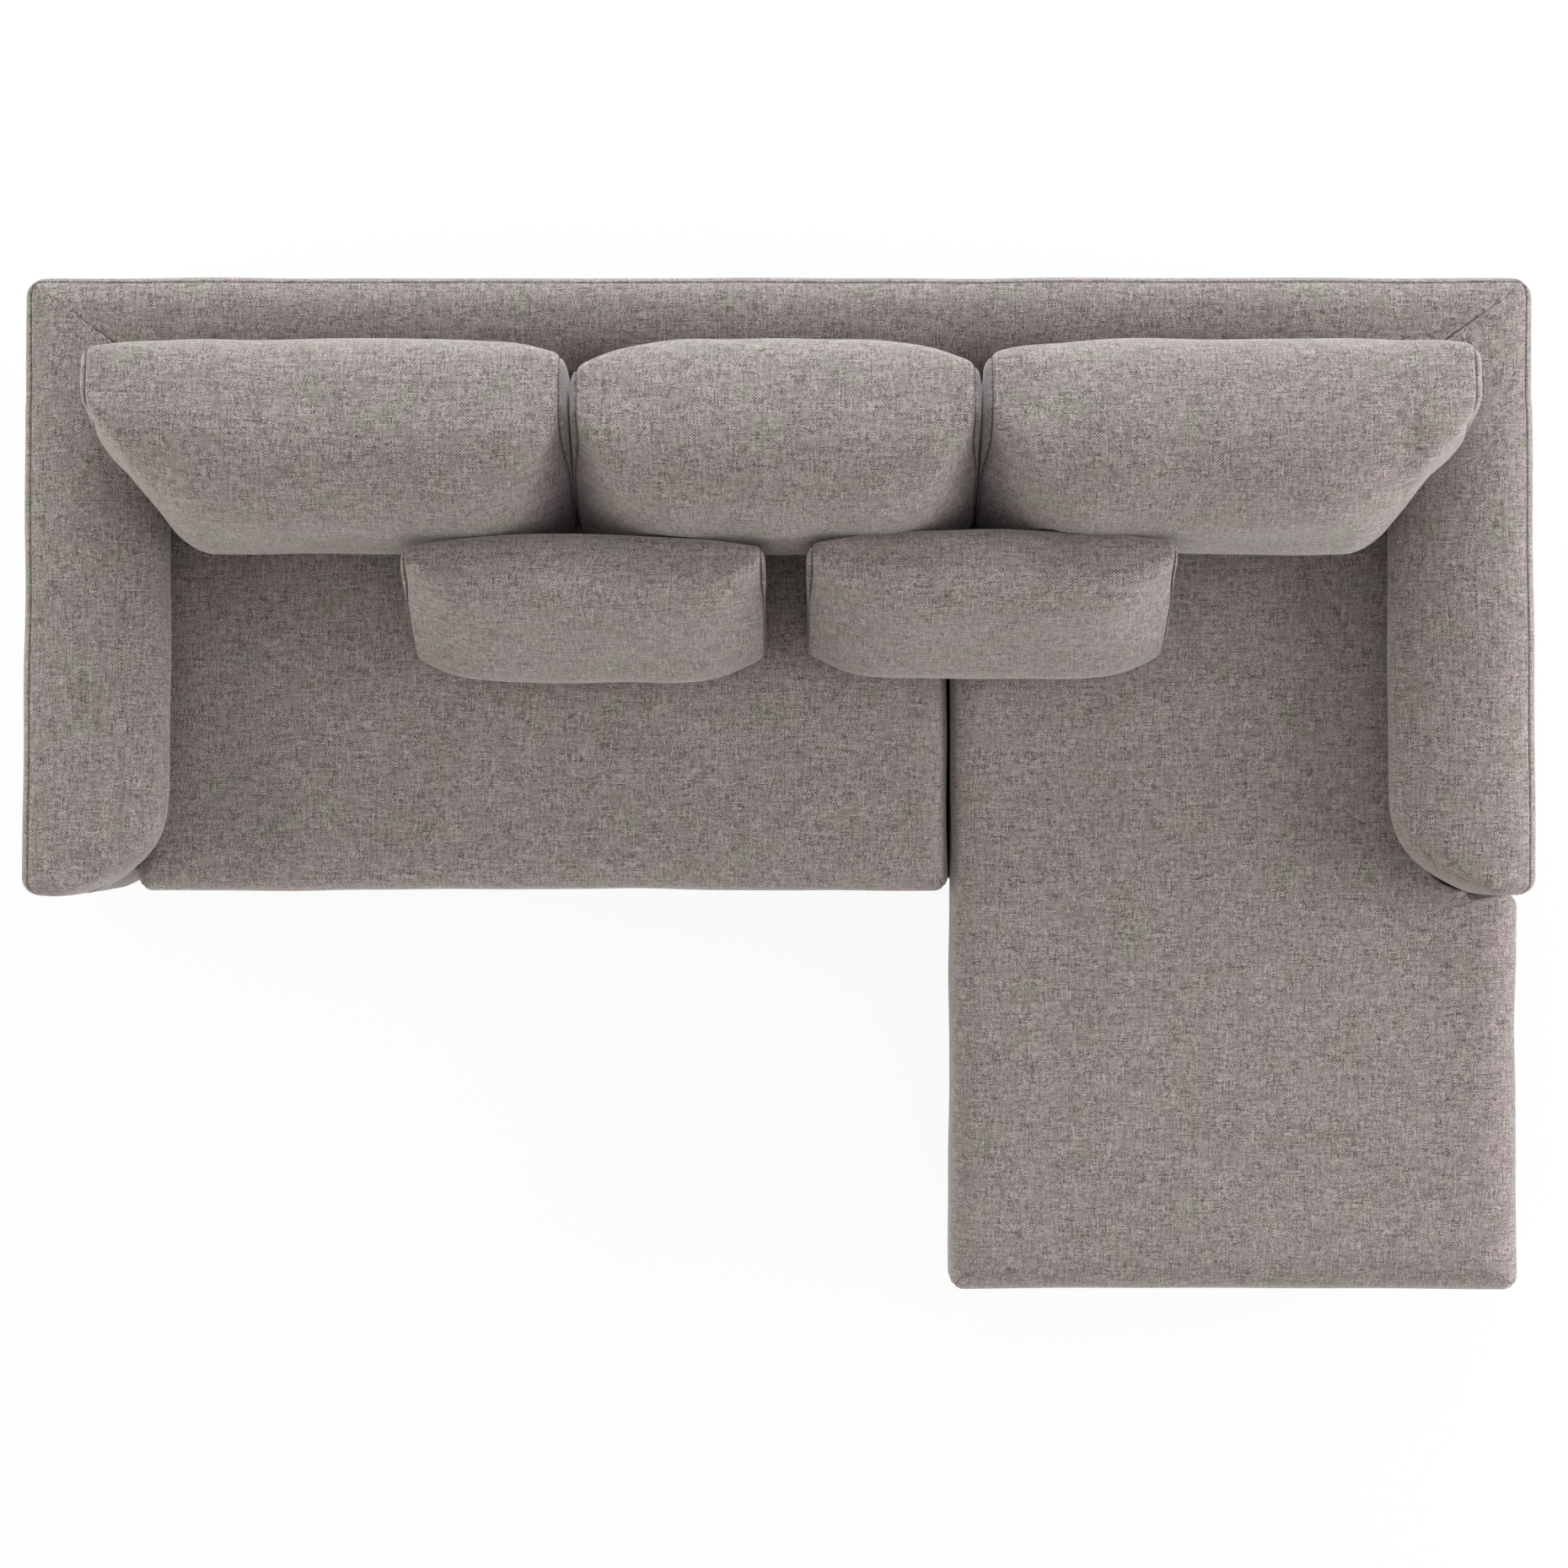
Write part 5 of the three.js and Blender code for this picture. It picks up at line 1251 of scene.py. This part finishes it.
class MakeBackCushions(bpy.types.Operator):
    """Make the three back cushions"""

    bl_idname = "sofa.make_back_cushions"
    bl_label = "Back cushions"

    def execute(self, context):
        scene = context.scene
        shape = scene.sofa_shape
        roll = shape.outer_side - shape.wall - shape.overhang
        centre = cushion_centre(CUSHION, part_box("middle_back_cushion_cover"))
        for name, seed in (("left", 31), ("middle", 37), ("right", 41)):
            node = f"{name}_back_cushion"
            low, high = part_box(node + "_cover")
            ears = (max(-roll - low[0], 0.0), max(high[0] - roll, 0.0))
            inset, ear_draw = EARS[name]
            left = low[0] + (inset if ears[0] else 0.0)
            right = high[0] - (inset if ears[1] else 0.0)
            surface = boxed_surface(CUSHION, left, right, ears, ear_draw, BACK_DRAWS[name], centre, shape,
                                    scene.sofa_seams, seed, BENCH_HIGH[2] + SEAT_ROOM)
            points = surface[0]
            points[..., 1] = np.maximum(points[..., 1], pillow_hollow(points[..., 0], points[..., 2]))
            piece = boxed_piece(node, surface, cloth_of(context), seed)
            dress_padded(piece, node, node + "_cover", node + "_core")
        return {"FINISHED"}


class MakeLumbarPillows(bpy.types.Operator):
    """Make the two lumbar pillows"""

    bl_idname = "sofa.make_lumbar_pillows"
    bl_label = "Lumbar pillows"

    def execute(self, context):
        scene = context.scene
        for name, seed in (("left", 43), ("right", 47)):
            node = f"{name}_lumbar_pillow"
            low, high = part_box(node + "_cover")
            first, last, shift = LUMBAR_PLACES[name]
            centre = cushion_centre(LUMBAR, (low, high), shift)
            surface = boxed_surface(LUMBAR, low[0] + first, high[0] - last, (0.0, 0.0), 0.0,
                                    LUMBAR_DRAWS[name], centre, scene.sofa_shape, scene.sofa_seams, seed,
                                    BENCH_HIGH[2] + SEAT_ROOM)
            piece = boxed_piece(node, surface, cloth_of(context), seed)
            dress_padded(piece, node, node + "_cover", node + "_core")
        return {"FINISHED"}


def pillow_hollow(across, height):
    """Furthest back that the two lumbar pillows reach at each place, which the back cushions give way to:
    the rear side of the pillow's own superellipse, drawn in towards its ends, and nothing beside it."""
    angle = np.linspace(-0.5 * math.pi, 0.5 * math.pi, 181)
    power, tilt = LUMBAR["power"], math.radians(LUMBAR["tilt"])
    off = superellipse(angle, power)
    depth = LUMBAR["rear"] * off * np.cos(angle)
    rise = LUMBAR["height"] / 2.0 * off * np.sin(angle)
    nowhere = 9.0
    furthest = np.full(across.shape, -nowhere)
    for name, (first, last, shift) in LUMBAR_PLACES.items():
        low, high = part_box(f"{name}_lumbar_pillow_cover")
        centre = cushion_centre(LUMBAR, (low, high), shift)
        y = centre[1] + depth * math.cos(tilt) + rise * math.sin(tilt)
        z = centre[2] + rise * math.cos(tilt) - depth * math.sin(tilt)
        upper = slice(int(np.argmin(z)), int(np.argmax(z)) + 1)
        rear = np.interp(height, z[upper], y[upper], left=-nowhere, right=-nowhere)
        ends = (across - low[0] - first, high[0] - last - across)
        drawn = [draw * fall(np.maximum(end, 0.0), LUMBAR["back_reach"], END_POWER)
                 for draw, end in zip(LUMBAR_DRAWS[name], ends)]
        beside = np.where(np.minimum(*ends) < -0.004, nowhere, 0.0)
        furthest = np.maximum(furthest, rear + 0.003 - drawn[0] - drawn[1] - beside)
    return furthest


def cushion_centre(form, box, shift=0.0):
    """Middle of a tilted section, found from where the box of its own superellipse has to stand: its height
    from the box's top, and its depth from the middle of the box."""
    low, high = box
    tilt = math.radians(form["tilt"])
    power = form["power"] / (form["power"] - 1.0)
    half = (form["front"] + form["rear"]) / 2.0
    tall = form["height"] / 2.0 * math.cos(tilt)
    up = (tall**power + (half * math.sin(tilt)) ** power) ** (1.0 / power)
    return 0.0, (low[1] + high[1]) / 2.0 + shift, high[2] - up


class MakeBands(bpy.types.Operator):
    """Make the cloth bands of the sofa's front rail and of the chaise base"""

    bl_idname = "sofa.make_bands"
    bl_label = "Bands"

    def execute(self, context):
        cloth = [cloth_of(context)]
        low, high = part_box("front_rail_cover")
        profile = band_profile(low[2], high[2], BAND_THICKNESS, BAND_FOLD)
        x = np.linspace(low[0] - BAND_TUCK, high[0] + BAND_TUCK, 120)
        size = (len(x), len(profile))
        points = np.stack([np.broadcast_to(x[:, None], size),
                           np.broadcast_to(low[1] + BAND_SWELL + profile[None, :, 0], size),
                           np.broadcast_to(profile[None, :, 1], size)], axis=-1)
        run = run_length(points, 1)
        place = np.stack([np.broadcast_to(x[:, None], run.shape), run], axis=-1)
        caps = [paired_cap(points[i], flat_place(points[i], 1, 2), 3) for i in (0, -1)]
        piece = made("front_rail_band", [sheet(points, place), *caps], cloth)
        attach(piece, "sofa_frame")
        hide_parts("front_rail_cover")
        low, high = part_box("chaise_border_cover")
        profile = band_profile(low[2], high[2], BAND_THICKNESS, BAND_THICKNESS)
        plan = ((low[0], low[1]), (high[0], low[1]), (high[0], high[1]), (low[0], high[1]))
        corners = [(*place, BORDER_CORNER) for place in plan]
        loops = np.stack([cushion_outline(corners, BAND_SWELL + inset, 8, [60, 44, 60, 44], 0.0)
                          for inset, _ in profile], axis=1)
        rise = np.broadcast_to(profile[None, :, 1:], (*loops.shape[:2], 1))
        points = np.concatenate([loops, rise], axis=-1)
        points = np.concatenate([points, points[:1]])
        run = run_length(points, 1)
        along = run_length(points, 0)[:, 5]
        place = np.stack([np.broadcast_to(along[:, None], run.shape), run], axis=-1) + 1.7
        piece = made("chaise_border", [sheet(points, place)], cloth)
        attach(piece, "chaise_base")
        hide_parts("chaise_border_cover")
        return {"FINISHED"}


class MakeLegs(bpy.types.Operator):
    """Make the turned legs of the sofa and the chaise base"""

    bl_idname = "sofa.make_legs"
    bl_label = "Legs"

    def execute(self, context):
        stain = wood_of("dark stained beech", (0.085, 0.046, 0.026), (0.032, 0.017, 0.010), (60.0, 60.0, 7.0),
                        1.0, 0.35)
        for body, nodes in frame["record"]["behaviour"]["bodies"].items():
            for node in nodes:
                if node.endswith("_leg"):
                    low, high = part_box(node)
                    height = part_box(node + "_plate")[0][2] - 0.0003
                    x, y = (low[0] + high[0]) / 2.0, (low[1] + high[1]) / 2.0
                    piece = turned_leg("turned_" + node, x, y, height, stain)
                    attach(piece, body)
                    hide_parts(node)
        return {"FINISHED"}


class FinishFrame(bpy.types.Operator):
    """Give the timber, webbing, linings and plates their materials"""

    bl_idname = "sofa.finish_frame"
    bl_label = "Frame"

    def execute(self, context):
        board = ((0.56, 0.39, 0.22), (0.34, 0.21, 0.11))
        lengthways = wood_of("birch board, grain in X", *board, (2.5, 60.0, 60.0), 1.0, 0.0)
        deepways = wood_of("birch board, grain in Y", *board, (60.0, 2.5, 60.0), 1.0, 0.0)
        plain = {"steel": ("zinc plated steel", plate_material),
                 "webbing": ("elastic webbing", webbing_material),
                 "lining": ("black lining cloth", lining_material)}
        slots = {entry["node"]: entry["material_slot"] for entry in frame["record"]["subparts"]}
        for node, piece in frame["nodes"].items():
            kind = slots[node]
            if kind == "timber":
                low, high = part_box(node)
                material = lengthways if high[0] - low[0] > high[1] - low[1] else deepways
            elif kind in plain:
                material = kept(*plain[kind])
            else:
                continue
            piece.data.materials.clear()
            piece.data.materials.append(material)
        return {"FINISHED"}


# The low lamps: the side on which each hangs, its heading from the middle of the sofa and its colour.
LAMPS = (("right", (1.0, 0.0), (0.97, 1.0, 0.97)), ("rear", (0.0, 1.0), (0.92, 1.0, 1.0)),
         ("left", (-1.0, 0.0), (0.95, 1.0, 0.8)), ("front", (0.0, -1.0), (0.92, 1.0, 0.7)))
LAMP_DISTANCE, LAMP_HEIGHT, LAMP_SIZE = 4.95, 2.0, 3.0


class SetStage(bpy.types.Operator):
    """Set the floor, the lamps and the camera over the sofa"""

    bl_idname = "sofa.set_stage"
    bl_label = "Stage"

    def execute(self, context):
        scene = context.scene
        stage = scene.sofa_stage
        scene.view_settings.view_transform = "Standard"
        lay_floor(scene)
        light_world(scene, stage)
        for side, heading, colour in LAMPS:
            place = (LAMP_DISTANCE * heading[0], LAMP_DISTANCE * heading[1], LAMP_HEIGHT)
            hang_lamp(scene, side + " lamp", getattr(stage, side), colour, place, LAMP_SIZE)
        camera = bpy.data.objects.new("camera over the sofa", bpy.data.cameras.new("camera over the sofa"))
        camera.data.lens = stage.lens
        camera.data.sensor_width = 36.0
        camera.location = (stage.aim[0], stage.aim[1], stage.height)
        scene.collection.objects.link(camera)
        scene.camera = camera
        return {"FINISHED"}


def lay_floor(scene):
    """A white floor that keeps the sofa's shadow and looks white to the camera."""
    mesh = bpy.data.meshes.new("floor")
    reach, level = 30.0, -0.0005
    corners = [(-reach, -reach, level), (reach, -reach, level), (reach, reach, level), (-reach, reach, level)]
    mesh.from_pydata(corners, [], [(0, 1, 2, 3)])
    floor = bpy.data.objects.new("floor", mesh)
    scene.collection.objects.link(floor)
    material, tree, shader = new_material("white studio floor")
    output = tree.nodes["Material Output"]
    shader.inputs["Roughness"].default_value = 0.9
    shader.inputs["Base Color"].default_value = (0.86, 0.86, 0.86, 1.0)
    glow = tree.nodes.new("ShaderNodeEmission")
    path = tree.nodes.new("ShaderNodeLightPath")
    seen = maths(tree, "MAXIMUM", path.outputs["Is Camera Ray"], path.outputs["Is Glossy Ray"])
    mix = tree.nodes.new("ShaderNodeMixShader")
    tree.links.new(maths(tree, "MULTIPLY", seen, 0.92), mix.inputs[0])
    tree.links.new(shader.outputs[0], mix.inputs[1])
    tree.links.new(glow.outputs[0], mix.inputs[2])
    glow.inputs["Strength"].default_value = 1.0
    tree.links.new(mix.outputs[0], output.inputs["Surface"])
    mesh.materials.append(material)


def light_world(scene, stage):
    """A soft pale sky that looks white behind the sofa."""
    world = bpy.data.worlds.new("studio sky")
    scene.world = world
    world.use_nodes = True
    tree = world.node_tree
    soft = tree.nodes["Background"]
    soft.inputs["Color"].default_value = (1.0, 0.96, 1.0, 1.0)
    soft.inputs["Strength"].default_value = stage.sky
    white = tree.nodes.new("ShaderNodeBackground")
    white.inputs["Color"].default_value = (1.0, 1.0, 1.0, 1.0)
    path = tree.nodes.new("ShaderNodeLightPath")
    mix = tree.nodes.new("ShaderNodeMixShader")
    tree.links.new(path.outputs["Is Camera Ray"], mix.inputs[0])
    tree.links.new(soft.outputs[0], mix.inputs[1])
    tree.links.new(white.outputs[0], mix.inputs[2])
    tree.links.new(mix.outputs[0], tree.nodes["World Output"].inputs["Surface"])


def hang_lamp(scene, name, power, colour, place, size):
    """A square soft lamp aimed at the middle of the sofa."""
    lamp = bpy.data.lights.new(name, "AREA")
    lamp.energy = power
    lamp.color = colour
    lamp.size = size
    holder = bpy.data.objects.new(name, lamp)
    holder.location = place
    aim = np.array([0.0, 0.0, 0.4]) - np.array(place)
    flat = math.hypot(aim[0], aim[1])
    holder.rotation_euler = (math.atan2(flat, -aim[2]), 0.0, math.atan2(-aim[0], aim[1]))
    holder.visible_camera = False
    scene.collection.objects.link(holder)


class SofaPanel(bpy.types.Panel):
    """Lists what makes the sofa"""

    bl_idname = "VIEW3D_PT_sofa"
    bl_label = "Sofa with chaise"
    bl_space_type = "VIEW_3D"
    bl_region_type = "UI"
    bl_category = "Sofa"

    def draw(self, context):
        for operator in MAKERS:
            self.layout.operator(operator.bl_idname)
        for group in ("sofa_shape", "sofa_seams", "sofa_cloth", "sofa_stage"):
            values = getattr(context.scene, group)
            box = self.layout.box()
            for name in values.__class__.__annotations__:
                box.prop(values, name)


MAKERS = (SetStage, FinishFrame, MakeArms, MakeBack, MakeSeatCushions, MakeBackCushions, MakeLumbarPillows,
          MakeBands, MakeLegs)
GROUPS = {"sofa_shape": SofaShape, "sofa_seams": SofaSeams, "sofa_cloth": SofaCloth, "sofa_stage": SofaStage}


def register():
    for group in GROUPS.values():
        bpy.utils.register_class(group)
    for name, group in GROUPS.items():
        setattr(bpy.types.Scene, name, bpy.props.PointerProperty(type=group))
    for operator in MAKERS:
        bpy.utils.register_class(operator)
    bpy.utils.register_class(SofaPanel)


def unregister():
    bpy.utils.unregister_class(SofaPanel)
    for operator in reversed(MAKERS):
        bpy.utils.unregister_class(operator)
    for name, group in GROUPS.items():
        delattr(bpy.types.Scene, name)
        bpy.utils.unregister_class(group)


def main():
    register()
    bpy.ops.sofa.set_stage()
    bpy.ops.sofa.finish_frame()
    bpy.ops.sofa.make_arms()
    bpy.ops.sofa.make_back()
    bpy.ops.sofa.make_seat_cushions()
    bpy.ops.sofa.make_back_cushions()
    bpy.ops.sofa.make_lumbar_pillows()
    bpy.ops.sofa.make_bands()
    bpy.ops.sofa.make_legs()


if __name__ == "__main__":
    main()
